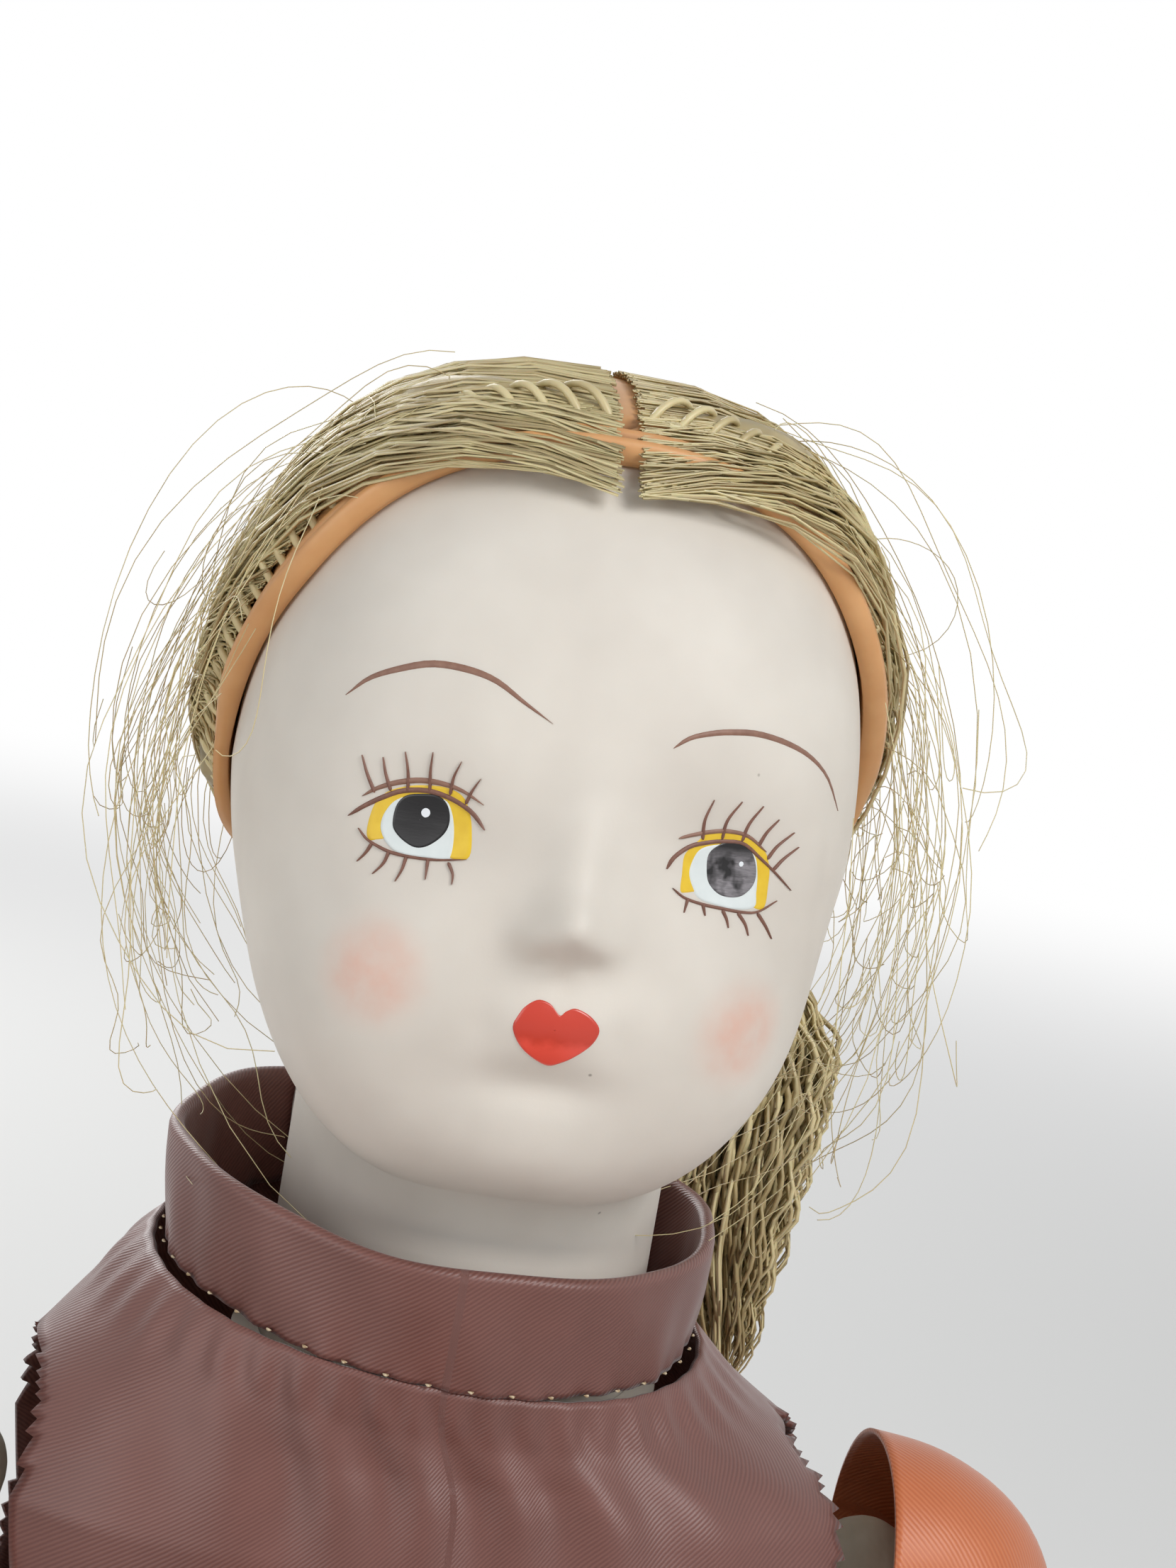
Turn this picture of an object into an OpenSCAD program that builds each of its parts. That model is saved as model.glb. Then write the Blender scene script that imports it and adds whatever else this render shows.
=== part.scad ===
// Seated porcelain doll with a swivel head on a shoulder plate, a stuffed cloth body,
// porcelain limbs, a rooted wig cap and a two-coloured satin suit.
// Millimetres. +Z up, the face looks along -Y, the doll's left hand is on the +X side.
// The origin is the middle of the flat seat that the doll sits on.

/* [Head] */
// Height of the eye line above the seat
eye_z = 148; // [140:1:156]
// Place of the head's middle, front to back
head_y = -12; // [-14:0.5:-10]
// Half width of the face at the eye line
face_half_w = 27.2; // [24:0.1:30]
// Depth of the face in front of the head's middle
face_depth = 28.5; // [25:0.1:31]
// Depth of the skull behind the head's middle
skull_depth = 30; // [27:0.1:33]
// Height of the crown above the eye line
crown_h = 36.5; // [33:0.1:40]
// Drop from the eye line to the chin
chin_drop = 34; // [31:0.1:36]
// Wall of the porcelain casting
porcelain_wall = 2.6; // [1.8:0.1:3.2]
// Radius of the open crown under the wig cap, as a latitude in degrees
crown_latitude = 60; // [50:1:70]

/* [Neck and shoulder plate] */
// Radius of the neck and of its ball end
neck_r = 16.9; // [15.5:0.1:17.4]
// Height of the pivot that the head turns and nods about
pivot_z = 98; // [97:0.5:99]
// Neck axis, front to back
neck_y = -10; // [-11:0.5:-9]
// Running gap between the neck ball and the plate's socket
socket_gap = 0.08; // [0.03:0.01:0.1]
// Wall of the shoulder plate
plate_wall = 2.4; // [2:0.1:3]
// Half width of the shoulder plate at its lower edge
plate_half_w = 29; // [27:0.1:29.4]
// Radius of the cross bar inside the neck
bar_r = 1.5; // [1.2:0.1:1.8]
// Radius of the hook's wire
hook_wire_r = 1; // [0.8:0.05:1.2]
// Running gap between the hook's eye and the bar
eye_gap = 0.05; // [0.02:0.01:0.1]
// Length of the hook below the pivot
hook_length = 33; // [31:0.5:34]
// Radius of both washers
washer_r = 6; // [5:0.1:7]
// Thickness of both washers
washer_t = 0.8; // [0.6:0.1:1]
// Radius of the spring's wire
spring_wire_r = 0.5; // [0.4:0.05:0.6]
// Number of turns in the spring
spring_turns = 4; // [3:1:5]

/* [Wig] */
// Thickness of the vinyl wig cap
cap_t = 1.3; // [1:0.1:1.8]
// Height of the rounded bead along the cap's edge
cap_bead = 0.9; // [0.5:0.1:1.2]
// Thickness of the combed hair over the cap
hair_t = 3.4; // [2.5:0.1:4.5]
// Set-back of the first hair row from the cap's edge
hair_row = 3.4; // [2.5:0.1:5]
// Length of the gathered tail of hair
tail_length = 46; // [38:1:48]
// Largest radius of the gathered tail
tail_r = 8.6; // [7.5:0.1:9.5]
// Radius of the tail's neck inside the elastic
tie_r = 5; // [4.5:0.1:6]
// Radius of the elastic's cord
tie_cord_r = 1.1; // [0.8:0.1:1.4]

/* [Body] */
// Half width of the stuffed torso
torso_half_w = 30; // [28:0.1:30.4]
// Height of the torso's top under the shoulder plate
torso_top = 63.5; // [62:0.5:64]
// Height of the shoulder pivots
shoulder_z = 82; // [81:0.5:83]
// Distance of the shoulder pivots from the middle
shoulder_x = 42; // [41.6:0.1:43]
// Radius of the stuffed upper arm at its fullest
arm_r = 7.4; // [6.9:0.1:7.5]
// Length of the upper arm, pivot to pivot
upper_arm_length = 41; // [39:0.5:43]
// Outward lean of the upper arm in degrees
arm_lean = 15; // [14:0.5:17]
// Radius of the forearm's ball top
elbow_r = 6.6; // [6:0.1:7]
// Length of the forearm, elbow to wrist
forearm_length = 38; // [35:1:40]
// Slope of the forearm below level, in degrees
forearm_slope = 30; // [26:1:34]
// Length of the hand
hand_length = 22; // [19:0.5:24]
// Distance of the hip pivots from the middle
hip_x = 16.5; // [15.5:0.1:17.5]
// Height of the hip pivots
hip_z = 16; // [15.5:0.1:16.5]
// Place of the hip pivots, front to back
hip_y = -23; // [-24:0.5:-22]
// Radius of the stuffed thigh at the hip
thigh_r = 12.8; // [12:0.1:13.4]
// Length of the thigh, hip to knee
thigh_length = 78; // [74:1:82]
// Outward turn of the legs in degrees
leg_splay = 3; // [2:0.5:4]
// Radius of the lower leg's ball top
knee_r = 8.2; // [7.6:0.1:8.8]
// Length of the lower leg, knee to ankle
shank_length = 80; // [76:1:84]
// Length of the shoe, heel to toe
shoe_length = 34; // [30:1:36]
// Clearance between soft pieces on different bodies
soft_gap = 0.35; // [0.3:0.05:0.5]

/* [Suit] */
// Height of the stand collar's rim at the sides
collar_top = 114.5; // [113.5:0.5:116]
// Height of the stand collar's band
collar_h = 10.5; // [9:0.5:12]
// Half width of the collar's rim
collar_half_w = 25; // [24:0.1:26]
// Forward tilt of the collar in degrees
collar_tilt = 8; // [6:0.5:9]
// Drop of the collar towards the doll's left, in degrees
collar_lean = 3; // [0:0.5:4]
// Sideways set of the collar towards the doll's right
collar_shift = 2.5; // [0:0.1:3]
// Thickness of the folded collar band
collar_t = 1.4; // [1:0.1:1.6]
// Half width of the tunic at the armhole seams
tunic_half_w = 43.5; // [43:0.1:45]
// Thickness of the satin and its lining
cloth_t = 0.9; // [0.7:0.05:1.1]
// Radius of the armhole
armhole_r = 13.2; // [13:0.1:13.6]
// Height of the tunic's hem over the lap
hem_front_z = 34.5; // [33.5:0.5:37]
// Height of the tunic's hem at the back
hem_back_z = 9; // [7:0.5:12]
// Radius of the sleeve over the arm
sleeve_r = 12; // [11.5:0.1:12.2]
// Radius of the trouser leg over the thigh
trouser_r = 15.4; // [15:0.1:15.6]
// Width of the gathered bands at wrist and ankle
band_w = 4; // [3:0.5:5]

/* [Hidden] */

$fn = 48;
PORCELAIN = "#E4DED4";
VINYL = "#D9A56E";
HAIR = "#B8A67E";
BROWN_SATIN = "#6B3F38";
ORANGE_SATIN = "#C86A38";
CALICO = "#D8CDB8";
STEEL = "#9A9A98";
THREAD = "#C9B79C";

head_sides = 56;
cap_sides = 36;
seat_floor = 0.9;
cap_axis = unit([0, 0.768, 0.64]);
cap_plane = 2.43;
hip = [hip_x, hip_y, hip_z];
suit_y = neck_y - 1;
shoulder = [shoulder_x, suit_y, shoulder_z];
arm_dir = [sin(arm_lean), 0.09, -cos(arm_lean)];
elbow = shoulder + upper_arm_length * arm_dir;
forearm_dir = [0, -cos(forearm_slope), -sin(forearm_slope)];
wrist = elbow + forearm_length * forearm_dir;
leg_dir = [sin(leg_splay), -cos(leg_splay), 0];
knee = hip + thigh_length * leg_dir;
ankle_z = 12;
shank_dir = unit([sin(leg_splay), -cos(leg_splay), (ankle_z - hip_z) / shank_length]);
ankle = knee + shank_length * shank_dir;
cup_r = neck_r + socket_gap;
hip_lift = 9;
spring_top = pivot_z - cup_r - plate_wall - washer_t;
spring_len = 6.5;
tie_at = [25.8, head_y + 31, 135.4];
cap_fit = 0.35;

// ---- shared shapes -------------------------------------------------------------------

function unit(v) = v / norm(v);
function clamp(v, lo, hi) = min(max(v, lo), hi);
function smax(a, b, k) = max(a, b) + pow(max(k - abs(a - b), 0), 2) / (4 * k);
function bump(x, z, x0, z0, sx, sz) = exp(-pow((x - x0) / sx, 2) - pow((z - z0) / sz, 2));
function polar(th, r) = [r * sin(th), -r * cos(th)];
// Radius, at an angle from the front, of an oval with its own width, front and back
function oval(th, w, front, back, n) =
    pow(pow(abs(sin(th)) / w, n) + pow(abs(cos(th)) / (cos(th) > 0 ? front : back), n), -1 / n);
function ring(c, w, front, back, n, sides, z_of) =
    [for (i = [0 : sides - 1]) let (th = 360 * i / sides, p = polar(th, oval(th, w, front, back, n)))
        [c[0] + p[0], c[1] + p[1], z_of]];

// A closed skin through rings of the same even number of points, stacked upwards
module skin(rings, looped = false) {
    n = len(rings[0]);
    m = len(rings);
    sides = [for (j = [0 : m - (looped ? 1 : 2)], i = [0 : n - 1])
        let (a = j * n + i, b = j * n + (i + 1) % n, k = ((j + 1) % m) * n,
             c = k + (i + 1) % n, d = k + i)
        each [[a, d, c], [a, c, b]]];
    top = (m - 1) * n;
    ends = looped ? [] : [for (i = [0 : n / 2 - 2]) let (j = n - 1 - i) each
        [[i, i + 1, j - 1], [i, j - 1, j], [top + i, top + j - 1, top + i + 1], [top + i, top + j, top + j - 1]]];
    polyhedron([for (r = rings) each r], concat(sides, ends), convexity = 10);
}

// A ring square to a direction, its first point on the side that faces up_hint
function hoop(c, dir, r, sides, up_hint = [0, 0, 1], squash = 1) =
    let (u = unit(cross(dir, cross(up_hint, dir))), v = unit(cross(u, dir)))
    [for (i = [0 : sides - 1]) let (a = 360 * i / sides) c + r * (cos(a) * u + squash * sin(a) * v)];

module along(from, dir) {
    d = unit(dir);
    translate(from) rotate([0, acos(d[2]), atan2(d[1], d[0])]) children();
}

// ---- head ----------------------------------------------------------------------------

// Distance from the head's middle to the bare skull along a unit direction
function skull(d) =
    let (down = clamp(-d[2], 0, 1), h = max(norm([d[0], d[1]]), 0.001), front = clamp(-d[1] / h, 0, 1),
         w = face_half_w * (1 - 0.10 * down),
         depth = d[1] < 0 ? face_depth * (1 - 0.05 * down) : skull_depth,
         drop = chin_drop - 4.4 * (1 + d[1] / h),
         tall = d[2] > 0 ? crown_h : drop,
         n = 2.3 + (d[2] < 0 ? 1.1 * front * smooth(down, 0.1, 0.6) : 0))
    pow(pow(abs(d[0]) / w, n) + pow(abs(d[1]) / depth, n) + pow(abs(d[2]) / tall, n), -1 / n);
function smooth(v, lo, hi) = let (t = clamp((v - lo) / (hi - lo), 0, 1)) t * t * (3 - 2 * t);
// Distance to the neck along a direction, from the head's middle
function neck_reach(th, lat, r) =
    let (off = neck_y - head_y)
    (-off * cos(th) + sqrt(r * r - pow(off * sin(th), 2))) / max(cos(lat), 0.2);
// The same bump on both sides of the middle
function both(x, z, x0, z0, sx, sz) = bump(x, z, x0, z0, sx, sz) + bump(x, z, -x0, z0, sx, sz);
// How far the features stand forward of the skull
function relief(x, z) =
    4.3 * bump(x, z, 0, -5.8, 3.1, 2.9) + 1.9 * bump(x, z, 0, -0.5, 2.6, 5)
    + both(x, z, 2.9, -7.2, 1.8, 1.6) - 1.5 * both(x, z, 11.5, 0, 6, 5) + both(x, z, 14, -11.5, 8, 7)
    + 1.5 * bump(x, z, 0, -14.6, 6, 3.8) - 0.9 * bump(x, z, 0, -19.8, 5, 1.8)
    + 1.6 * bump(x, z, 0, -27, 6.5, 4.6);
function head_point(th, lat, inset) =
    let (d = [cos(lat) * sin(th), -cos(lat) * cos(th), sin(lat)],
         bare = skull(d) - inset, neck = neck_reach(th, lat, neck_r - inset),
         r = lat < 0 ? smax(bare, min(neck, 60), 4) : bare,
         face = smooth(cos(th), 0.25, 0.6) * smooth(lat, -64, -52),
         p = r * d)
    [p[0], head_y + p[1] - (inset > 0 ? 0 : face * relief(p[0], p[2])), eye_z + p[2]];
function face_angle(i, sides) = let (u = 360 * i / sides) u - 28 * sin(u);
function head_ring(lat, inset) =
    [for (i = [0 : head_sides - 1]) head_point(face_angle(i, head_sides), lat, inset)];
neck_joint_z = 106;
function neck_ring(inset) =
    [for (i = [0 : head_sides - 1]) let (th = face_angle(i, head_sides),
        p = polar(th, neck_reach(th, 0, neck_r - inset))) [p[0], head_y + p[1], neck_joint_z]];
outer_latitudes = [-60, -57, -54, -51, -48, -45, -42, -39, -36, -33, -30, -27, -24, -21, -18, -15,
    -12, -9, -5, 0, 6, 14, 23, 33, 43, 52, crown_latitude];
inner_latitudes = [crown_latitude, 45, 28, 10, -8, -24, -38, -50, -60];

module head() color(PORCELAIN) {
    lap = 0.25;
    bore = neck_r - porcelain_wall + lap;
    hook_hole_r = 4.6;
    difference() {
        union() {
            skin(concat([neck_ring(0)], [for (l = outer_latitudes) head_ring(l, 0)],
                [for (l = inner_latitudes) head_ring(l, porcelain_wall)],
                [neck_ring(porcelain_wall)]), looped = true);
            translate([0, neck_y, 0]) difference() {
                union() {
                    translate([0, 0, pivot_z]) sphere(neck_r);
                    translate([0, 0, pivot_z]) cylinder(r = neck_r - lap, h = neck_joint_z - pivot_z + lap);
                }
                translate([0, 0, pivot_z]) sphere(bore);
                translate([0, 0, pivot_z]) cylinder(r = bore, h = neck_r);
                translate([0, 0, pivot_z - 2 * neck_r]) cylinder(r = hook_hole_r, h = neck_r + 5);
            }
        }
        translate([-neck_r, neck_y, pivot_z]) rotate([0, 90, 0]) cylinder(r = bar_r, h = 2 * neck_r);
    }
}

module neck_bar() color(STEEL)
    translate([-neck_r + 1, neck_y, pivot_z]) rotate([0, 90, 0]) cylinder(r = bar_r, h = 2 * neck_r - 2);

// ---- wig -----------------------------------------------------------------------------

cap_side = [1, 0, 0];
cap_up = cross(cap_axis, cap_side);
function cap_dir(tilt, turn) = cos(tilt) * cap_axis
    + sin(tilt) * (cos(turn) * cap_up + sin(turn) * cap_side);
// Polar angle of the cap's edge; the nape side stops short of the neck
function cap_edge(turn) = 85.5 - 13 * smooth(cos(turn), 0.2, 1);
function cap_point(tilt, turn, lift) =
    let (d = cap_dir(tilt, turn)) [0, head_y, eye_z] + (skull(d) + lift) * d;
// The bead runs round the face and fades out under the hair at the nape
function cap_ring(share, lift, bead = 0) =
    [for (i = [0 : cap_sides - 1]) let (turn = 360 * i / cap_sides)
        cap_point(share * cap_edge(turn), turn, lift + bead * cap_bead * smooth(cos(turn), 0.1, -0.3))];

module wig_cap() color(VINYL) {
    shell = [0.04, 0.16, 0.28, 0.4, 0.52, 0.64, 0.76, 0.88];
    outside = cap_t + cap_fit;
    skin(concat([for (share = shell) cap_ring(share, outside)],
        [cap_ring(0.945, outside, 0.3), cap_ring(0.975, outside, 1), cap_ring(0.995, outside, 0.5),
         cap_ring(1, cap_fit + 0.5 * cap_t, 0.5), cap_ring(0.985, cap_fit)],
        [for (k = [len(shell) - 1 : -1 : 0]) cap_ring(shell[k], cap_fit)]));
}

// Angle from the front at which combed hair starts, for one latitude
function hairline(lat) =
    let (r = skull([cos(lat) * 0.87, -cos(lat) * 0.5, sin(lat)]),
         c = (cap_plane + hair_row - cap_axis[2] * r * sin(lat)) / (-cap_axis[1] * r * cos(lat)))
    acos(clamp(c, -1, 1));
function lock_wave(th, lat) = 0.35 * sin(9 * th + 2.2 * lat) + 0.25 * sin(17 * th - 3 * lat);
// One latitude of a half head of hair: outer arc front to back, then inner arc back again
function hair_ring(lat, swell) =
    let (start = max(hairline(lat), 1.2), steps = 13, inner = cap_t + cap_fit + 0.5,
         outer_arc = [for (i = [0 : steps]) let (th = start + (179.4 - start) * i / steps,
             ease = smooth(i, -0.6, 3)) [th, inner + 0.25 + (hair_t * swell + lock_wave(th, lat)) * ease]],
         inner_arc = [for (i = [steps : -1 : 0]) [outer_arc[i][0], inner]])
    [for (a = concat(outer_arc, inner_arc))
        let (d = [cos(lat) * sin(a[0]), -cos(lat) * cos(a[0]), sin(lat)])
        [0, head_y, eye_z] + (skull(d) + a[1]) * d];
// Latitudes, closest where the hairline crosses the brow, each with its share of the hair's thickness
hair_latitudes = [[-34, 0.9], [-27, 1.25], [-19, 1.35], [-10, 1.3], [0, 1.2], [10, 1.1], [20, 1],
    [30, 0.95], [39, 0.9], [46, 0.87], [52, 0.84], [56, 0.82], [59, 0.81], [61, 0.8], [63, 0.79],
    [71, 0.75], [80, 0.7], [87, 0.6]];

module half_hair() skin([for (l = hair_latitudes) hair_ring(l[0], l[1])]);
module hair_left() color(HAIR) half_hair();
module hair_right() color(HAIR) mirror([1, 0, 0]) half_hair();

// Gathered tail: crimped waves around a centre line that swings out, then hangs
function tail_centre(t) = tie_at + [5 * smooth(t, 0, 0.5) + 1.2 * sin(430 * t),
    1.2 * sin(180 * t), -tail_length * t];
function tail_width(t) = tie_r * 0.82 + (tail_r - tie_r * 0.82) * smooth(t, 0, 0.3)
    - (tail_r - 2) * smooth(t, 0.55, 1.02) + 0.7 * sin(1080 * t) * smooth(t, 0.1, 0.3);
module ponytail() color(HAIR) {
    sides = 14;
    skin([for (j = [20 : -1 : 0]) let (t = j / 20, c = tail_centre(t), r = tail_width(t))
        [for (i = [0 : sides - 1]) let (a = 360 * i / sides)
            c + [r * (1 + 0.07 * sin(3 * a + 300 * t)) * cos(a), 0.8 * r * sin(a), 0]]]);
}
module hair_tie() color("#3A2A20")
    translate(tail_centre(0.06)) rotate_extrude() translate([tie_r + tie_cord_r, 0]) circle(tie_cord_r);

// ---- swivel hardware -----------------------------------------------------------------

module neck_hook() color(STEEL) translate([0, neck_y, pivot_z]) {
    eye_r = bar_r + eye_gap + hook_wire_r;
    rotate([0, 90, 0]) rotate_extrude() translate([eye_r, 0]) circle(hook_wire_r);
    translate([0, 0, -hook_length]) cylinder(r = hook_wire_r, h = hook_length - eye_r);
}

module spring_coil(r, wire, turns, length) {
    steps = 12;
    sides = 8;
    last = turns * steps;
    skin([for (j = [0 : last]) let (a = 360 * j / steps, z = length * j / last,
            out = [cos(a), sin(a), 0])
        [for (i = [0 : sides - 1]) let (b = 360 * i / sides)
            r * out + wire * (cos(b) * out - [0, 0, sin(b)]) + [0, 0, z]]]);
}
module hook_spring() color(STEEL)
    translate([0, neck_y, spring_top - spring_len + spring_wire_r + 0.15])
        spring_coil(hook_wire_r + 1.4, spring_wire_r, spring_turns, spring_len - 2 * spring_wire_r - 0.3);
module washer(z) color(STEEL) translate([0, neck_y, z]) difference() {
    cylinder(r = washer_r, h = washer_t);
    translate([0, 0, -1]) cylinder(r = hook_wire_r + 0.1, h = washer_t + 2);
}
module plate_washer() washer(spring_top);
module spring_washer() washer(spring_top - spring_len - washer_t);
module wing_nut() color(STEEL) {
    top = spring_top - spring_len - washer_t;
    hub_h = 3.2;
    translate([0, neck_y, top - hub_h]) difference() {
        union() {
            cylinder(r = 2.6, h = hub_h);
            for (s = [-1, 1]) translate([s * 4, 0, 0.8]) rotate([90, 0, 0])
                cylinder(r = 2.2, h = 1, center = true);
        }
        translate([0, 0, -1]) cylinder(r = hook_wire_r + 0.02, h = hub_h + 4);
    }
}

// ---- shoulder plate and torso --------------------------------------------------------

plate_rows = [[torso_top + 0.2, 1, 20], [74, 0.985, 20.5], [83, 0.93, 20.5], [90, 0.83, 20],
    [95, 0.7, 19.4]];
module shoulder_plate() color(PORCELAIN) {
    sides = 32;
    difference() {
        union() {
            skin(concat(
                [for (p = plate_rows) ring([0, neck_y], plate_half_w * p[1], p[2], p[2], 2.3, sides, p[0])],
                [for (j = [len(plate_rows) - 1 : -1 : 0]) let (p = plate_rows[j])
                    ring([0, neck_y], plate_half_w * p[1] - plate_wall, p[2] - plate_wall,
                        p[2] - plate_wall, 2.3, sides, p[0] - (j > 0 ? 1.8 : 0))]), looped = true);
            translate([0, neck_y, pivot_z]) intersection() {
                sphere(cup_r + plate_wall);
                translate([0, 0, -30.5]) cylinder(r = 40, h = 30);
            }
        }
        translate([0, neck_y, pivot_z]) sphere(cup_r);
        translate([0, neck_y, pivot_z - 40]) cylinder(r = hook_wire_r + 0.4, h = 30);
        for (x = [-1, 1], y = [-1, 1])
            translate([x * (plate_half_w - 11), neck_y, torso_top + 4]) rotate([90, 0, 0])
                translate([0, 0, y > 0 ? 10 : -30]) cylinder(r = 0.9, h = 20);
    }
}

// Everything that a swinging thigh needs clear, as one wide slot in front of the pelvis
module hip_room(gap) {
    r = thigh_r + gap;
    reach = 50;
    translate([0, hip_y, hip_z]) rotate([0, 90, 0]) cylinder(r = r, h = 2 * reach, center = true);
    for (tip = [0, -hip_lift]) translate([0, hip_y, hip_z]) rotate([tip, 0, 0])
        translate([-reach, -reach, -r]) cube([2 * reach, reach, 2 * r]);
    translate([-reach, hip_y - r, hip_z - reach]) cube([2 * reach, 2 * r, reach]);
}
// Half width, front and back of the stuffed trunk by height
trunk_rows = [[seat_floor + 0.3, 0.8, 15, 19], [5, 0.93, 20, 22], [14, 1, 21, 23.5], [24, 1, 20, 23.5],
    [34, 0.97, 18.5, 22], [42, 0.9, 18.5, 20], [52, 0.9, 20, 19.5], [59, 0.95, 19.5, 19],
    [torso_top, 0.93, 18, 18]];
module torso() color(CALICO) difference() {
    skin([for (p = trunk_rows) ring([0, neck_y], torso_half_w * p[1], p[2], p[3], 2.2, 20, p[0])]);
    hip_room(soft_gap);
}

module trouser_seat() color(BROWN_SATIN) {
    n = 20;
    rows = [for (p = trunk_rows) if (p[0] > 3 && p[0] < 40) p];
    clear = 0.6;
    difference() {
        skin(concat([ring([0, neck_y], torso_half_w * 0.8, 15.5, 20, 2.2, n, 0)],
            [for (p = rows) ring([0, neck_y], torso_half_w * p[1] + clear + cloth_t,
                p[2] + clear + cloth_t, p[3] + clear + cloth_t, 2.2, n, p[0])],
            [for (j = [len(rows) - 1 : -1 : 0]) let (p = rows[j])
                ring([0, neck_y], torso_half_w * p[1] + clear, p[2] + clear, p[3] + clear, 2.2, n, p[0])],
            [ring([0, neck_y], torso_half_w * 0.8 + clear, 15 + clear, 19 + clear, 2.2, n, seat_floor)]));
        hip_room(soft_gap);
    }
}

// ---- tunic and collar ----------------------------------------------------------------

// Share of the skirt's height, share of the half width, front and back depth, from hem to armhole
skirt_rows = [[0, 0.84, 25.5, 29.5], [0.3, 0.82, 23.5, 29], [0.55, 0.82, 23, 27.8], [0.75, 0.83, 24, 26.2],
    [1, 0.835, 24.5, 25]];
// Height, share of the half width, front and back depth, from armhole to neck seam
yoke_rows = [[75, 0.94, 24.5, 24.4], [84, 1, 24, 24.2], [89, 0.94, 23.2, 24], [93.5, 0.84, 22.6, 23.6],
    [98.5, 0.7, 22.4, 23.2], [collar_top - collar_h - 0.1, 0.58, 22.8, 22.8]];
// Height of the side seam's top, just under the armhole
under_z = 68;
// Soft folds that run out from the collar and down the skirt; the sides stay flat under the arms
function tunic_fold(th, z) = (1 - pow(sin(th), 4)) * (0.55 * sin(7 * th + 2.1 * z) * smooth(z, 103, 80)
    + 0.8 * sin(11 * th) * smooth(z, 55, 25));
// The collar's own set: forward tilt, a lean and a step to the side, all of it at the neck seam
function collar_set(p, share) = p + share * [-collar_shift, 0,
    (p[1] - suit_y) * tan(collar_tilt) - p[0] * tan(collar_lean)];
function tunic_ring(p, z_front, z_back, off) =
    [for (i = [0 : 39]) let (th = 9 * i, lift = (1 + cos(th)) / 2,
        z = z_back + (z_front - z_back) * pow(lift, 0.8),
        q = polar(th, oval(th, tunic_half_w * p[1] - off, p[2] - off, p[3] - off, 2.05)
            + (off > 0 ? 0.6 : 1) * tunic_fold(th, z)))
        collar_set([q[0], suit_y + q[1], z], smooth(z, 89, 103))];
function skirt_z(p, hem) = hem + (under_z - hem) * p[0];
function skirt_ring(p, off) = tunic_ring(p, skirt_z(p, hem_front_z), skirt_z(p, hem_back_z), off);
function yoke_ring(p, off) = tunic_ring(p, p[0], p[0], off);
module tunic() color(BROWN_SATIN) difference() {
    skin(concat([for (p = skirt_rows) skirt_ring(p, 0)], [for (p = yoke_rows) yoke_ring(p, 0)],
        [for (j = [5, 4, 2, 0]) yoke_ring(yoke_rows[j], cloth_t + (j < 5 ? 0.15 : 0))],
        [for (j = [4, 2, 0]) skirt_ring(skirt_rows[j], cloth_t)]), looped = true);
    for (s = [-1, 1]) translate([s * (shoulder_x + 7), shoulder[1], shoulder_z])
        rotate([0, 90, 0]) cylinder(r = armhole_r, h = 30, center = true);
}

function collar_ring(rise, off) =
    [for (i = [0 : 39]) let (th = 9 * i, w = collar_half_w - off - 0.9 * (1 - rise),
            depth = collar_half_w - 1.2 - off - 0.9 * (1 - rise),
            x = w * sin(th), y = -depth * sign(cos(th)) * pow(abs(cos(th)), 1.12))
        collar_set([x, suit_y + y, collar_top - collar_h * (1 - rise)], 1)];
module stand_collar() color(BROWN_SATIN)
    skin([collar_ring(0, 0), collar_ring(0.5, -0.15), collar_ring(0.95, 0), collar_ring(1, 0.35 * collar_t),
        collar_ring(0.95, collar_t), collar_ring(0.5, collar_t), collar_ring(0, collar_t)], looped = true);

// A bit of hook-and-loop tape that lies against the collar's inner face, left of the nape
module collar_tab() color("#E9E4DA") {
    tab = [9, 1, 9];
    face = collar_half_w - collar_t - 2.4;
    translate([-collar_shift, suit_y, collar_top - 4.5]) rotate([0, 0, 25])
        translate([-tab[0] / 2, face - tab[1], 0]) cube(tab);
}

// Depth of the tunic's centre back by height
back_line = concat([for (p = skirt_rows) let (z = skirt_z(p, hem_back_z)) [z, p[3] + tunic_fold(180, z)]],
    [for (p = yoke_rows) [p[0], p[3] + tunic_fold(180, p[0])]]);
module back_snaps() color("#4A3A38") for (k = [0 : 2]) {
    lowest = 40;
    z = lowest + 20 * k;
    proud = 0.6;
    translate([0, suit_y + lookup(z, back_line) + proud, z]) rotate([-90, 0, 0]) {
        cylinder(r = 3, h = 0.8);
        cylinder(r = 1.4, h = 1.6);
    }
}

// ---- arms ----------------------------------------------------------------------------

// The arm is slim where it is sewn on, and its stuffing ends short of the elbow, so both can fold
stuffing_end = 10;
arm_root = 2.4;
arm_taper = 1.7;
module upper_arm() color(CALICO) {
    stuffed = upper_arm_length - stuffing_end;
    translate(shoulder) sphere(arm_r - arm_root);
    along(shoulder, arm_dir) rotate_extrude() polygon(concat([[0, 0]],
        [for (t = [0 : 0.125 : 1]) [arm_r - 0.1 - arm_root * pow(1 - t, 2) - arm_taper * pow(t, 3), stuffed * t]],
        [[0, stuffed]]));
}
module upper_arm_left() upper_arm();
module upper_arm_right() mirror([1, 0, 0]) upper_arm();

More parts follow.
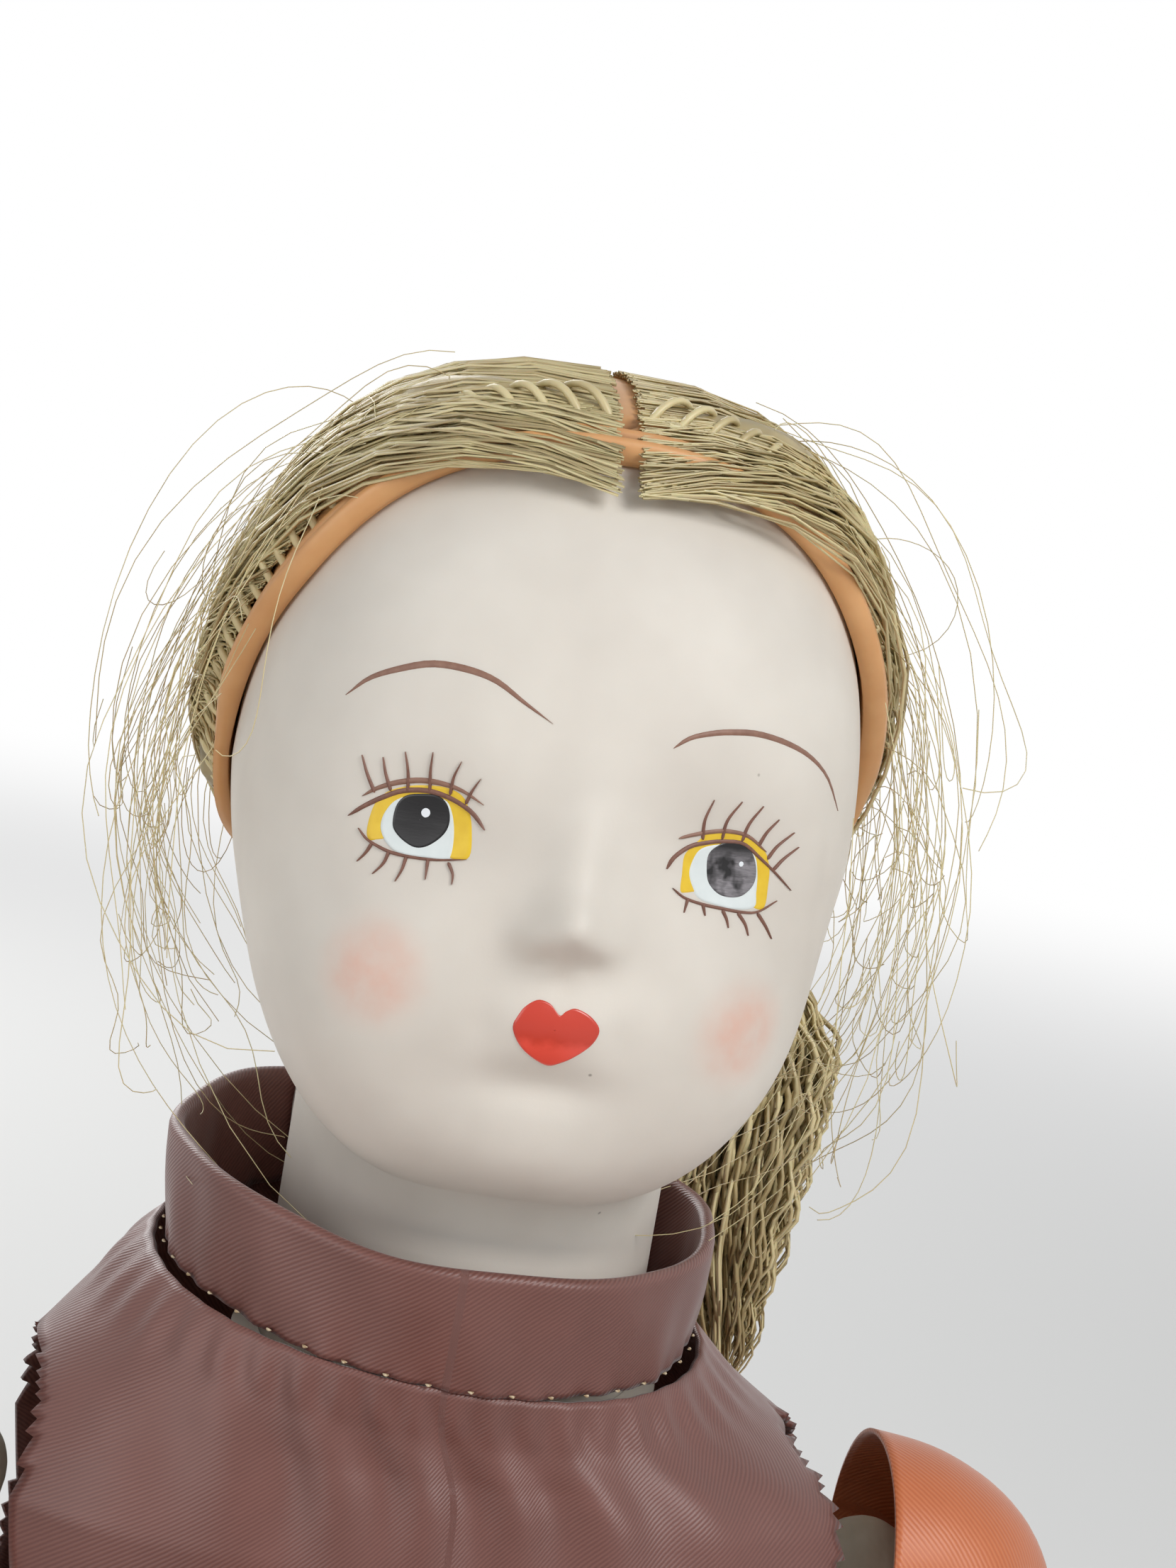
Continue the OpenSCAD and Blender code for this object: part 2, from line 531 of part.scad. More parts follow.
// A mitten of joined fingers with grooves, and a separate thumb
module hand() {
    pitch = 2.9;
    resize([0, 0, 0]) union() {
        hull() {
            sphere(3.9, $fn = 12);
            for (k = [-1.5, 1.5]) translate([0, k * pitch, hand_length * 0.48]) sphere(2.2, $fn = 10);
        }
        for (k = [0 : 3]) let (y = (k - 1.5) * pitch, reach = hand_length * (k == 1 || k == 2 ? 1 : 0.9)) hull() {
            translate([0, y, hand_length * 0.44]) sphere(2, $fn = 10);
            translate([-1.2, y * 0.86, reach - 1.5]) sphere(1.5, $fn = 10);
        }
        hull() {
            translate([0.4, -3, 4]) sphere(2.2, $fn = 10);
            translate([-2, -7.4, hand_length * 0.55]) sphere(1.6, $fn = 10);
        }
    }
}
module forearm() color(PORCELAIN) {
    translate(elbow) sphere(elbow_r);
    along(elbow, forearm_dir) {
        rotate_extrude() polygon(concat([[0, 0]],
            [for (t = [0 : 0.125 : 1]) [elbow_r - 0.3 - 2.3 * t + 0.6 * sin(180 * t), forearm_length * t]],
            [[0, forearm_length]]));
        translate([0, 0, forearm_length]) hand();
    }
}
module forearm_left() forearm();
module forearm_right() mirror([1, 0, 0]) forearm();

module cord_ring(from, dir, at, inner) color(THREAD)
    along(from, dir) translate([0, 0, at]) rotate_extrude() translate([inner + 0.6, 0]) circle(0.6);
arm_cord_at = 8.5;
module arm_cord() cord_ring(elbow, forearm_dir, arm_cord_at, elbow_r - 0.28);
module arm_cord_left() arm_cord();
module arm_cord_right() mirror([1, 0, 0]) arm_cord();

sleeve_end = forearm_length - 4.4;
// Sleeve stations: centre, direction and radius from the armhole to the gathered wrist
sleeve_stations = [
    [shoulder + [-0.6, 0, 0], [1, 0, 0], armhole_r - soft_gap - 0.1],
    [shoulder + [3.4, 0, -0.3], [1, 0, -0.3], sleeve_r],
    [shoulder + [6.2, 0.2, -3.2], [0.75, 0, -0.8], sleeve_r + 0.3],
    [shoulder + [7.2, 0.8, -9.5], [0.25, 0.05, -1], sleeve_r + 0.4],
    [shoulder + [8, 1.8, -21], [0.12, 0.09, -1], sleeve_r + 0.2],
    [elbow + [1.4, 0.5, 5], [0.1, -0.12, -1], sleeve_r],
    [elbow + [1.2, -2.6, -3.2], [0, -0.65, -0.8], sleeve_r],
    [elbow + [1, 0, 0] + 14 * forearm_dir, forearm_dir, sleeve_r + 0.6],
    [elbow + [0.6, 0, 0] + 24 * forearm_dir, forearm_dir, sleeve_r + 1],
    [elbow + [0.3, 0, 0] + 30 * forearm_dir, forearm_dir, sleeve_r - 1.5],
    [elbow + sleeve_end * forearm_dir, forearm_dir, 6.6]];
function sleeve_hoop(s, off, folds) = let (n = 18, h = hoop(s[0], unit(s[1]), 1, n, [0, 1, 0.2]))
    [for (i = [0 : n - 1]) s[0] + (s[2] - off + folds * sin(5 * 360 * i / n)) * (h[i] - s[0])];
module sleeve() color(ORANGE_SATIN) {
    last = len(sleeve_stations) - 1;
    skin(concat([for (j = [last : -1 : 0]) sleeve_hoop(sleeve_stations[j], 0, j > 2 && j < last ? 0.5 : 0)],
        [for (j = [0, 2, 3, 4, 6, 8, last]) sleeve_hoop(sleeve_stations[j], cloth_t, 0)]), looped = true);
}
module sleeve_left() sleeve();
module sleeve_right() mirror([1, 0, 0]) sleeve();

module cuff() color(BROWN_SATIN) along(elbow + (sleeve_end + 0.2) * forearm_dir, forearm_dir)
    rotate_extrude() translate([5.2, 0]) square([1.3, band_w]);
module cuff_left() cuff();
module cuff_right() mirror([1, 0, 0]) cuff();

// ---- legs ----------------------------------------------------------------------------

module thigh() color(CALICO) difference() {
    union() {
        translate(hip) sphere(thigh_r);
        along(hip, leg_dir) rotate_extrude() polygon(concat([[0, 0]],
            [for (t = [0 : 0.1 : 1]) [thigh_r - 3.4 * t + 0.7 * sin(180 * t) - 0.1, thigh_length * t]],
            [[0, thigh_length]]));
    }
    translate(knee) sphere(knee_r + soft_gap);
    along(knee, leg_dir) translate([0, 0, -7]) cylinder(r = 30, h = 40);
}
module thigh_left() thigh();
module thigh_right() mirror([1, 0, 0]) thigh();

// Moulded shoe: heel, sole and a rounded toe that points up when the leg lies flat
module shoe() {
    sole = 2.4;
    heel_r = 5;
    heel_y = heel_r - ankle_z;
    resize([0, 0, 0]) union() {
        hull() {
            translate([0, -3.4, 0]) sphere(5, $fn = 16);
            translate([0, 2, 3]) sphere(6, $fn = 16);
            translate([0, shoe_length - 14, 4.6]) scale([1.12, 1, 0.85]) sphere(5.4, $fn = 16);
        }
        hull() {
            translate([0, heel_y, 8.6]) cylinder(r = heel_r, h = sole, $fn = 20);
            translate([0, shoe_length - 15, 8.6]) cylinder(r = 6.4, h = sole, $fn = 20);
        }
        translate([0, heel_y, 8.6]) cylinder(r = heel_r - 0.1, h = 5, $fn = 20);
    }
}
shoe_turn = atan2(shank_dir[0], -shank_dir[1]);
module lower_leg() color(PORCELAIN) {
    translate(knee) sphere(knee_r);
    along(knee, shank_dir) rotate_extrude() polygon(concat([[0, 0]],
        [for (t = [0 : 0.1 : 1]) [knee_r - 0.3 - 2.9 * t + 1.6 * sin(180 * pow(t, 0.8)), shank_length * t]],
        [[0, shank_length]]));
    translate(ankle) rotate([0, 0, shoe_turn]) rotate([90, 0, 0]) shoe();
}
module lower_leg_left() lower_leg();
module lower_leg_right() mirror([1, 0, 0]) lower_leg();
leg_cord_at = 10.5;
module leg_cord() cord_ring(knee, shank_dir, leg_cord_at, knee_r + 0.72);
module leg_cord_left() leg_cord();
module leg_cord_right() mirror([1, 0, 0]) leg_cord();

// A loose trouser tube that lies on the seat's level and never crosses the middle
function leg_hoop(c, dir, r, off, folds) = let (n = 18, h = hoop(c, dir, 1, n, [0, 0, 1]))
    [for (i = [0 : n - 1]) let (p = c + (r - off + folds * sin(6 * 360 * i / n)) * (h[i] - c))
        [max(p[0], 0.4 + off), p[1], max(p[2], 0.3 + off)]];
module trouser_thigh() color(BROWN_SATIN) {
    stations = [for (t = [0.12, 0.25, 0.42, 0.6]) [hip + thigh_length * t * leg_dir, trouser_r]];
    skin(concat([for (j = [3 : -1 : 0]) leg_hoop(stations[j][0], leg_dir, stations[j][1], 0, 0.35)],
        [for (j = [0, 1, 3]) leg_hoop(stations[j][0], leg_dir, stations[j][1], cloth_t, 0)]), looped = true);
}
module trouser_thigh_left() trouser_thigh();
module trouser_thigh_right() mirror([1, 0, 0]) trouser_thigh();

function leg_at(s) = s < thigh_length ? hip + s * leg_dir : knee + (s - thigh_length) * shank_dir;
trouser_end = thigh_length + shank_length - 18;
module trouser_leg() color(ORANGE_SATIN) {
    start = thigh_length * 0.6 + 0.5;
    loose = [for (t = [0, 0.16, 0.34, 0.52, 0.7, 0.86, 0.95]) start + (trouser_end - start) * t];
    radii = [trouser_r, trouser_r, trouser_r - 0.4, trouser_r - 0.4, trouser_r - 0.6, trouser_r - 2, 11.5];
    skin(concat([leg_hoop(leg_at(trouser_end), shank_dir, 8.3, 0, 0)],
        [for (j = [6 : -1 : 0]) leg_hoop(leg_at(loose[j]), leg_dir, radii[j], 0, 0.45)],
        [for (j = [0, 2, 4, 6]) leg_hoop(leg_at(loose[j]), leg_dir, radii[j], cloth_t, 0)],
        [leg_hoop(leg_at(trouser_end), shank_dir, 8.3, cloth_t, 0)]), looped = true);
}
module trouser_leg_left() trouser_leg();
module trouser_leg_right() mirror([1, 0, 0]) trouser_leg();

module ankle_band() color(BROWN_SATIN) along(leg_at(trouser_end + 0.3), shank_dir)
    rotate_extrude() translate([6.9, 0]) square([1.3, band_w]);
module ankle_band_left() ankle_band();
module ankle_band_right() mirror([1, 0, 0]) ankle_band();

// ---- the parts -----------------------------------------------------------------------

head();
neck_bar();
wig_cap();
hair_left();
hair_right();
ponytail();
hair_tie();
neck_hook();
hook_spring();
spring_washer();
wing_nut();
plate_washer();
shoulder_plate();
torso();
tunic();
stand_collar();
collar_tab();
back_snaps();
trouser_seat();
upper_arm_left();
upper_arm_right();
sleeve_left();
sleeve_right();
forearm_left();
forearm_right();
arm_cord_left();
arm_cord_right();
cuff_left();
cuff_right();
thigh_left();
thigh_right();
trouser_thigh_left();
trouser_thigh_right();
lower_leg_left();
lower_leg_right();
leg_cord_left();
leg_cord_right();
trouser_leg_left();
trouser_leg_right();
ankle_band_left();
ankle_band_right();
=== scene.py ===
import math
import bpy
import bmesh
import numpy as np
from mathutils import Matrix, Vector


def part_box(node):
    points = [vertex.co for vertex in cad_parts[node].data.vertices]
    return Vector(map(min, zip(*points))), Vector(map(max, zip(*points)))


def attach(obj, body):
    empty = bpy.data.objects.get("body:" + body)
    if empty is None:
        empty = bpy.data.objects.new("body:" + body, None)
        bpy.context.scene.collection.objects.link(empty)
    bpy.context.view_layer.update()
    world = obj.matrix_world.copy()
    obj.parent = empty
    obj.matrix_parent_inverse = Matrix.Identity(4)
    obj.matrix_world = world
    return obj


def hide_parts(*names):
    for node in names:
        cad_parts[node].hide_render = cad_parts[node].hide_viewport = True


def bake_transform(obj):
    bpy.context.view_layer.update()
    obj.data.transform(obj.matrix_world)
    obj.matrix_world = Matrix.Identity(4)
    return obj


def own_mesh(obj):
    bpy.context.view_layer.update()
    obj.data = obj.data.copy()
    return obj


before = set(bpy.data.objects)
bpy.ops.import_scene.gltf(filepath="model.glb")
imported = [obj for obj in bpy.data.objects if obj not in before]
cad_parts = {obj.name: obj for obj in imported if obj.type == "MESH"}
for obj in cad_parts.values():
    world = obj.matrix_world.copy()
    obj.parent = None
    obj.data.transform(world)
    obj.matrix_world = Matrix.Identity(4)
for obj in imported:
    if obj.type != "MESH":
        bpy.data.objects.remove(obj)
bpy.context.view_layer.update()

# ---- Camera, lamps and table top ------------------------------------------------------
# A pale table top under soft lamps. The view is level with the doll's face, a little from its right,
# and rolled, so that the head leans to the right of the view.

look_at = Vector((0.0041, -0.012, 0.1506))
azimuth, elevation, roll, half_field = (math.radians(a) for a in (9.24, 6, 9.6, 13.03))
view_distance, sensor_h = 0.3, 24
ahead = Vector((math.sin(azimuth) * math.cos(elevation), math.cos(azimuth) * math.cos(elevation),
                -math.sin(elevation)))
level = ahead.cross(Vector((0, 0, 1))).normalized()
upright = level.cross(ahead)
across_view = level * math.cos(roll) + upright * math.sin(roll)
up_view = upright * math.cos(roll) - level * math.sin(roll)
camera_data = bpy.data.cameras.new("view")
camera_data.sensor_fit = "VERTICAL"
camera_data.sensor_height = sensor_h
camera_data.lens = sensor_h / 2 / math.tan(half_field)
camera_data.clip_start = 0.01
camera = bpy.data.objects.new("view", camera_data)
camera.matrix_world = (Matrix.Translation(look_at - ahead * view_distance)
                       @ Matrix((across_view, up_view, -ahead)).transposed().to_4x4())
bpy.context.scene.collection.objects.link(camera)
bpy.context.scene.camera = camera

for lamp_name, place, size, power in (("key_lamp", (0.42, -0.62, 0.62), 0.45, 4.6),
                                      ("fill_lamp", (-0.7, -0.5, 0.25), 0.7, 2.4),
                                      ("back_lamp", (-0.25, 0.7, 0.5), 0.5, 3.0)):
    lamp_data = bpy.data.lights.new(lamp_name, "AREA")
    lamp_data.shape = "DISK"
    lamp_data.size = size
    lamp_data.energy = power
    lamp = bpy.data.objects.new(lamp_name, lamp_data)
    lamp.location = place
    lamp.rotation_euler = (look_at - lamp.location).to_track_quat("-Z", "Y").to_euler()
    bpy.context.scene.collection.objects.link(lamp)


def linear(code):
    """An sRGB hex colour as linear RGBA."""
    parts = [int(code[i:i + 2], 16) / 255 for i in (1, 3, 5)]
    return [c / 12.92 if c <= 0.04045 else ((c + 0.055) / 1.055) ** 2.4 for c in parts] + [1.0]


def node(tree, kind, inputs=None, **settings):
    """Adds one node; an input is a value or another node's output."""
    made = tree.nodes.new("ShaderNode" + kind)
    for key, value in settings.items():
        setattr(made, key, value)
    for key, value in (inputs or {}).items():
        if isinstance(value, bpy.types.NodeSocket):
            tree.links.new(value, made.inputs[key])
        else:
            made.inputs[key].default_value = value
    return made


def new_material(name):
    made = bpy.data.materials.new(name)
    made.use_nodes = True
    made.node_tree.nodes.clear()
    return made, made.node_tree


def seen_directly(tree):
    """1 for the rays that look at the background: straight, mirrored and through glass."""
    path = node(tree, "LightPath")
    either = node(tree, "Math", {0: path.outputs["Is Camera Ray"], 1: path.outputs["Is Glossy Ray"]},
                  operation="MAXIMUM")
    return node(tree, "Math", {0: either.outputs[0], 1: path.outputs["Is Transmission Ray"]},
                operation="MAXIMUM").outputs[0]


world = bpy.data.worlds.new("studio")
bpy.context.scene.world = world
world.use_nodes = True
world.node_tree.nodes.clear()
tree = world.node_tree
lit = node(tree, "Background", {"Color": linear("#C4C8CE"), "Strength": 0.5})
white = node(tree, "Background", {"Color": (1, 1, 1, 1), "Strength": 1.0})
either = node(tree, "MixShader", {0: seen_directly(tree), 1: lit.outputs[0], 2: white.outputs[0]})
node(tree, "OutputWorld", {"Surface": either.outputs[0]})
bpy.context.scene.view_settings.view_transform = "Standard"

# Matt painted board, pale and even; it fades into the white room behind it
board, tree = new_material("matt_white_board")
place = node(tree, "NewGeometry").outputs["Position"]
far = node(tree, "VectorMath", {0: place, 1: (1, 1, 0)}, operation="MULTIPLY").outputs[0]
far = node(tree, "VectorMath", {0: far}, operation="LENGTH").outputs["Value"]
fade = node(tree, "MapRange", {"Value": far, "From Min": 0.35, "From Max": 1.3}, interpolation_type="SMOOTHSTEP")
fade = node(tree, "Math", {0: fade.outputs[0], 1: seen_directly(tree)}, operation="MULTIPLY")
grain = node(tree, "TexNoise", {"Vector": place, "Scale": 900.0, "Detail": 3.0})
bump = node(tree, "Bump", {"Height": grain.outputs[0], "Strength": 0.1, "Distance": 0.0002})
paint = node(tree, "BsdfPrincipled", {"Base Color": linear("#E6E5E2"), "Roughness": 0.7,
                                      "Normal": bump.outputs[0]})
glow = node(tree, "Emission", {"Color": (1, 1, 1, 1), "Strength": 1.0})
mixed = node(tree, "MixShader", {0: fade.outputs[0], 1: paint.outputs[0], 2: glow.outputs[0]})
node(tree, "OutputMaterial", {"Surface": mixed.outputs[0]})
floor_form = bmesh.new()
bmesh.ops.create_circle(floor_form, cap_ends=True, segments=96, radius=4)
floor_mesh = bpy.data.meshes.new("table_top")
floor_form.to_mesh(floor_mesh)
floor_mesh.materials.append(board)
table_top = bpy.data.objects.new("table_top", floor_mesh)
bpy.context.scene.collection.objects.link(table_top)

# ---- Bisque head ----------------------------------------------------------------------
# Slip-cast porcelain, fired without glaze: a hollow head with an open crown and a ball-shaped neck end.
# It gives a matt warm white with a little light inside it, fine tooth and a few dark kiln specks.

head_middle = np.array([0.0, -12.0, 148.0])
neck_r, neck_y, pivot_z, neck_joint_z, porcelain_wall = 16.9, -10.0, 98.0, 106.0, 2.6


def smooth(value, low, high):
    share = np.clip((value - low) / (high - low), 0, 1)
    return share * share * (3 - 2 * share)


def skull(d):
    """Distance in mm from the head's middle to the bare skull along unit directions."""
    down = np.clip(-d[..., 2], 0, 1)
    flat = np.maximum(np.hypot(d[..., 0], d[..., 1]), 0.001)
    front = np.clip(-d[..., 1] / flat, 0, 1)
    wide = 27.2 * (1 - 0.10 * down)
    depth = np.where(d[..., 1] < 0, 28.5 * (1 - 0.05 * down), 30.0)
    tall = np.where(d[..., 2] > 0, 36.5, 34.0 - 4.4 * (1 + d[..., 1] / flat))
    power = 2.3 + np.where(d[..., 2] < 0, 1.1 * front * smooth(down, 0.1, 0.6), 0)
    return ((abs(d[..., 0]) / wide) ** power + (abs(d[..., 1]) / depth) ** power
            + (abs(d[..., 2]) / tall) ** power) ** (-1 / power)


def direction(around, latitude):
    """Unit direction for angles in degrees; 0 around is straight ahead of the face."""
    a, b = np.radians(around), np.radians(latitude)
    return np.stack([np.cos(b) * np.sin(a), -np.cos(b) * np.cos(a), np.sin(b) + 0 * a], -1)


def relief(x, z):
    """How far the features stand forward of the skull, in mm."""
    def bump_at(x0, z0, sx, sz):
        return np.exp(-((x - x0) / sx) ** 2 - ((z - z0) / sz) ** 2)

    def both(x0, z0, sx, sz):
        return bump_at(x0, z0, sx, sz) + bump_at(-x0, z0, sx, sz)
    nose = (4.3 * bump_at(0, -5.8, 3.1, 2.9) + 1.9 * bump_at(0, -0.5, 2.6, 5) + both(2.9, -7.2, 1.8, 1.6)
            - 0.35 * both(1.6, -8.8, 0.9, 0.7) - 0.25 * bump_at(0, -10.6, 1.0, 1.6))
    cheeks = both(14, -11.5, 8, 7) - 1.5 * both(11.5, 0, 6, 5)
    mouth = 1.5 * bump_at(0, -14.6, 6, 3.8) - 0.9 * bump_at(0, -19.8, 5, 1.8) - 0.35 * both(5.4, -15, 1.5, 2)
    return nose + cheeks + mouth + 1.6 * bump_at(0, -27, 6.5, 4.6)


def head_surface(around, latitude, inset=0.0):
    """Points of the casting in mm; with an inset, points of its inner wall."""
    d = direction(around, latitude)
    bare = skull(d) - inset
    off, r, a = neck_y - head_middle[1], neck_r - inset, np.radians(around)
    neck = (-off * np.cos(a) + np.sqrt(r * r - (off * np.sin(a)) ** 2)) / np.maximum(
        np.cos(np.radians(latitude)), 0.2)
    neck = np.minimum(neck, 60)
    joined = np.maximum(bare, neck) + np.maximum(4 - abs(bare - neck), 0) ** 2 / 16
    reach = np.where(latitude < 0, joined, bare)
    p = reach[..., None] * d
    if inset == 0:
        face = smooth(np.cos(a), 0.25, 0.6) * smooth(latitude, -64, -52)
        p = p - np.stack([0 * face, face * relief(p[..., 0], p[..., 2]), 0 * face], -1)
    return p + head_middle


def grid_faces(rows, columns, around=True, along=False):
    """Quads over a grid of points; around and along say which of its directions close on themselves."""
    j = np.arange(rows if along else rows - 1)[:, None]
    i = np.arange(columns if around else columns - 1)[None, :]
    j2, i2 = (j + 1) % rows, (i + 1) % columns
    return np.stack([j * columns + i, j * columns + i2, j2 * columns + i2, j2 * columns + i], -1).reshape(-1, 4)


def make_piece(name, points, faces, material, body, uv=None, marks=None):
    """A mesh piece from points in mm and quads; uv in mm per point, marks as point attributes."""
    points = np.asarray(points, float).reshape(-1, 3)
    faces = np.asarray(faces)
    mesh = bpy.data.meshes.new(name)
    mesh.vertices.add(len(points))
    mesh.vertices.foreach_set("co", (points / 1000).ravel())
    mesh.loops.add(faces.size)
    mesh.loops.foreach_set("vertex_index", faces.ravel().astype(np.int32))
    mesh.polygons.add(len(faces))
    mesh.polygons.foreach_set("loop_start", np.arange(0, faces.size, faces.shape[1], dtype=np.int32))
    mesh.polygons.foreach_set("use_smooth", np.ones(len(faces), bool))
    if uv is not None:
        layer = mesh.uv_layers.new(name="cloth_mm")
        layer.data.foreach_set("uv", np.asarray(uv, float).reshape(-1, 2)[faces.ravel()].ravel())
    for mark, values in (marks or {}).items():
        mesh.attributes.new(mark, "FLOAT", "POINT").data.foreach_set("value", np.asarray(values, float).ravel())
    mesh.update(calc_edges=True)
    mesh.validate()
    mesh.materials.append(material)
    made = bpy.data.objects.new(name, mesh)
    bpy.context.scene.collection.objects.link(made)
    if body:
        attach(made, body)
    return made


columns = 176
turn = 360 * np.arange(columns) / columns
around = turn - 28 * np.sin(np.radians(turn))
neck_around = np.degrees(np.arctan2(head_surface(around, 0 * around - 60)[:, 0],
                                    -(head_surface(around, 0 * around - 60)[:, 1] - neck_y)))


def neck_ring(radius, z):
    """A ring of the neck, with its points below those of the head."""
    a = np.radians(neck_around)
    return np.stack([radius * np.sin(a), neck_y - radius * np.cos(a), z + 0 * a], -1)


hook_hole_r = 4.6
low = math.degrees(math.asin(hook_hole_r / neck_r))
ball = [neck_ring(neck_r * math.sin(math.radians(t)), pivot_z - neck_r * math.cos(math.radians(t)))
        for t in np.linspace(low, 90, 18)]
tube = [neck_ring(neck_r, z) for z in np.linspace(pivot_z + 1.5, neck_joint_z + 6, 8)]
outer = [head_surface(around, 0 * around + lat) for lat in np.concatenate(
    [np.arange(-60, 24, 1.0), np.arange(24, 66, 2.0), [67.0]])]
inner = [head_surface(around, 0 * around + lat, porcelain_wall) for lat in (67, 50, 30, 10, -8, -24, -38, -50, -58)]
bore = neck_r - porcelain_wall
inner_ball = [neck_ring(bore * math.sin(math.radians(t)), pivot_z - bore * math.cos(math.radians(t)))
              for t in np.linspace(90, math.degrees(math.asin(hook_hole_r / bore)), 8)]
rings = ball + tube + outer + inner + [neck_ring(bore, neck_joint_z)] + inner_ball

bisque, tree = new_material("unglazed_bisque_porcelain")
place = node(tree, "TexCoord").outputs["Object"]
clouds = node(tree, "TexNoise", {"Vector": place, "Scale": 70.0, "Detail": 3.0, "Roughness": 0.5})
body_colour = node(tree, "ValToRGB", {"Fac": clouds.outputs[0]})
body_colour.color_ramp.elements[0].position = 0.3
body_colour.color_ramp.elements[0].color = linear("#D5CDC2")
body_colour.color_ramp.elements[1].position = 0.7
body_colour.color_ramp.elements[1].color = linear("#E2DBD0")
# kiln specks about 0.3 mm across, one to every 8 mm or so
cells = node(tree, "TexVoronoi", {"Vector": place, "Scale": 210.0, "Randomness": 1.0})
speck = node(tree, "MapRange", {"Value": cells.outputs["Distance"], "From Min": 0.045, "From Max": 0.02})
chance = node(tree, "SeparateColor", {0: cells.outputs["Color"]})
chosen = node(tree, "Math", {0: chance.outputs[0], 1: 0.72}, operation="GREATER_THAN")
speck = node(tree, "Math", {0: speck.outputs[0], 1: chosen.outputs[0]}, operation="MULTIPLY")
speck = node(tree, "Math", {0: speck.outputs[0], 1: 0.6}, operation="MULTIPLY")
coloured = node(tree, "Mix", {0: speck.outputs[0], 6: body_colour.outputs[0], 7: linear("#5E554C")},
                data_type="RGBA")
# dry-brushed orange-pink on both cheeks, gone to nothing 5 mm from its middle
for cheek in ((-0.0153, -0.0385, 0.1357), (0.0164, -0.0375, 0.1346)):
    apart = node(tree, "VectorMath", {0: place, 1: cheek}, operation="DISTANCE")
    ragged = node(tree, "TexNoise", {"Vector": place, "Scale": 420.0, "Detail": 4.0})
    spread = node(tree, "MapRange", {"Value": apart.outputs["Value"], "From Min": 0.0062, "From Max": 0.0012,
                                     "To Max": 0.62}, interpolation_type="SMOOTHSTEP")
    blush = node(tree, "Math", {0: spread.outputs[0], 1: ragged.outputs[0]}, operation="MULTIPLY")
    coloured = node(tree, "Mix", {0: blush.outputs[0], 6: coloured.outputs[2], 7: linear("#E58F6E")},
                    data_type="RGBA")
tooth = node(tree, "TexNoise", {"Vector": place, "Scale": 3200.0, "Detail": 4.0})
waves = node(tree, "TexNoise", {"Vector": place, "Scale": 160.0, "Detail": 2.0})
bump = node(tree, "Bump", {"Height": waves.outputs[0], "Strength": 0.12, "Distance": 0.0005})
bump = node(tree, "Bump", {"Height": tooth.outputs[0], "Strength": 0.12, "Distance": 0.00005,
                           "Normal": bump.outputs[0]})
rough = node(tree, "MapRange", {"Value": tooth.outputs[0], "To Min": 0.5, "To Max": 0.66})
surface = node(tree, "BsdfPrincipled", {
    "Base Color": coloured.outputs[2], "Roughness": rough.outputs[0], "IOR": 1.5, "Subsurface Weight": 0.15,
    "Subsurface Radius": (1.0, 0.75, 0.6), "Subsurface Scale": 0.0012, "Normal": bump.outputs[0]})
node(tree, "OutputMaterial", {"Surface": surface.outputs[0]})

head = make_piece("bisque_head", np.array(rings), grid_faces(len(rings), columns, True, True), bisque, "head")
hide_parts("head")

# ---- Painted face ---------------------------------------------------------------------
# Enamel laid on the fired bisque with a small brush: yellow and white eye grounds, black pupils, brown lid
# lines and lashes, tan brows and vermilion lips, and on each pupil a white dot that is a painted highlight.
# Each layer stands a few hundredths of a millimetre proud.


def face_point(xz, lift):
    """Points on the face for (x, z) in mm from the head's middle, lifted square to the surface."""
    def depth(x, z):
        near, deep = np.full(x.shape, -45.0), np.full(x.shape, -2.0)
        for _ in range(34):
            y = (near + deep) / 2
            p = np.stack([x, y, z], -1)
            reach = np.linalg.norm(p, axis=-1)
            outside = reach > skull(p / reach[..., None])
            near, deep = np.where(outside, y, near), np.where(outside, deep, y)
        face = smooth(np.cos(np.arctan2(x, -y)), 0.25, 0.6)
        return y - face * relief(x, z)
    x, z = xz[..., 0], xz[..., 1]
    y, step = depth(x, z), 0.05
    slope_x = (depth(x + step, z) - depth(x - step, z)) / (2 * step)
    slope_z = (depth(x, z + step) - depth(x, z - step)) / (2 * step)
    out = np.stack([slope_x, -np.ones_like(x), slope_z], -1)
    out /= np.linalg.norm(out, axis=-1)[..., None]
    return head_middle + np.stack([x, y, z], -1) + lift[..., None] * out


def through(points, count, closed=False):
    """A smooth curve through a few points."""
    points = np.array(points, float)
    n = len(points)
    padded = (np.concatenate([points[-1:], points, points[:2]]) if closed else
              np.concatenate([2 * points[:1] - points[1:2], points, 2 * points[-1:] - points[-2:-1]]))
    spans = n if closed else n - 1
    t = np.linspace(0, spans, count, endpoint=not closed)
    k = np.minimum(t.astype(int), spans - 1)
    f = (t - k)[:, None]
    a, b, c, d = (padded[k + i] for i in range(4))
    return 0.5 * (2 * b + (c - a) * f + (2 * a - 5 * b + 4 * c - d) * f ** 2 + (3 * b - a - 3 * c + d) * f ** 3)


def dab(name, outline, lift, paint):
    """A filled patch of enamel whose rim sinks into the bisque."""
    edge = through(outline, 72, closed=True)
    centre = edge.mean(0)
    shares = np.array([1.0, 0.965, 0.9, 0.7, 0.5, 0.3, 0.12, 0.01])
    flat = centre + shares[:, None, None] * (edge - centre)
    lifts = np.where(shares == 1, -0.03, lift)[:, None] + 0 * flat[..., 0]
    return make_piece(name, face_point(flat, lifts), grid_faces(len(shares), 72), paint, "head")


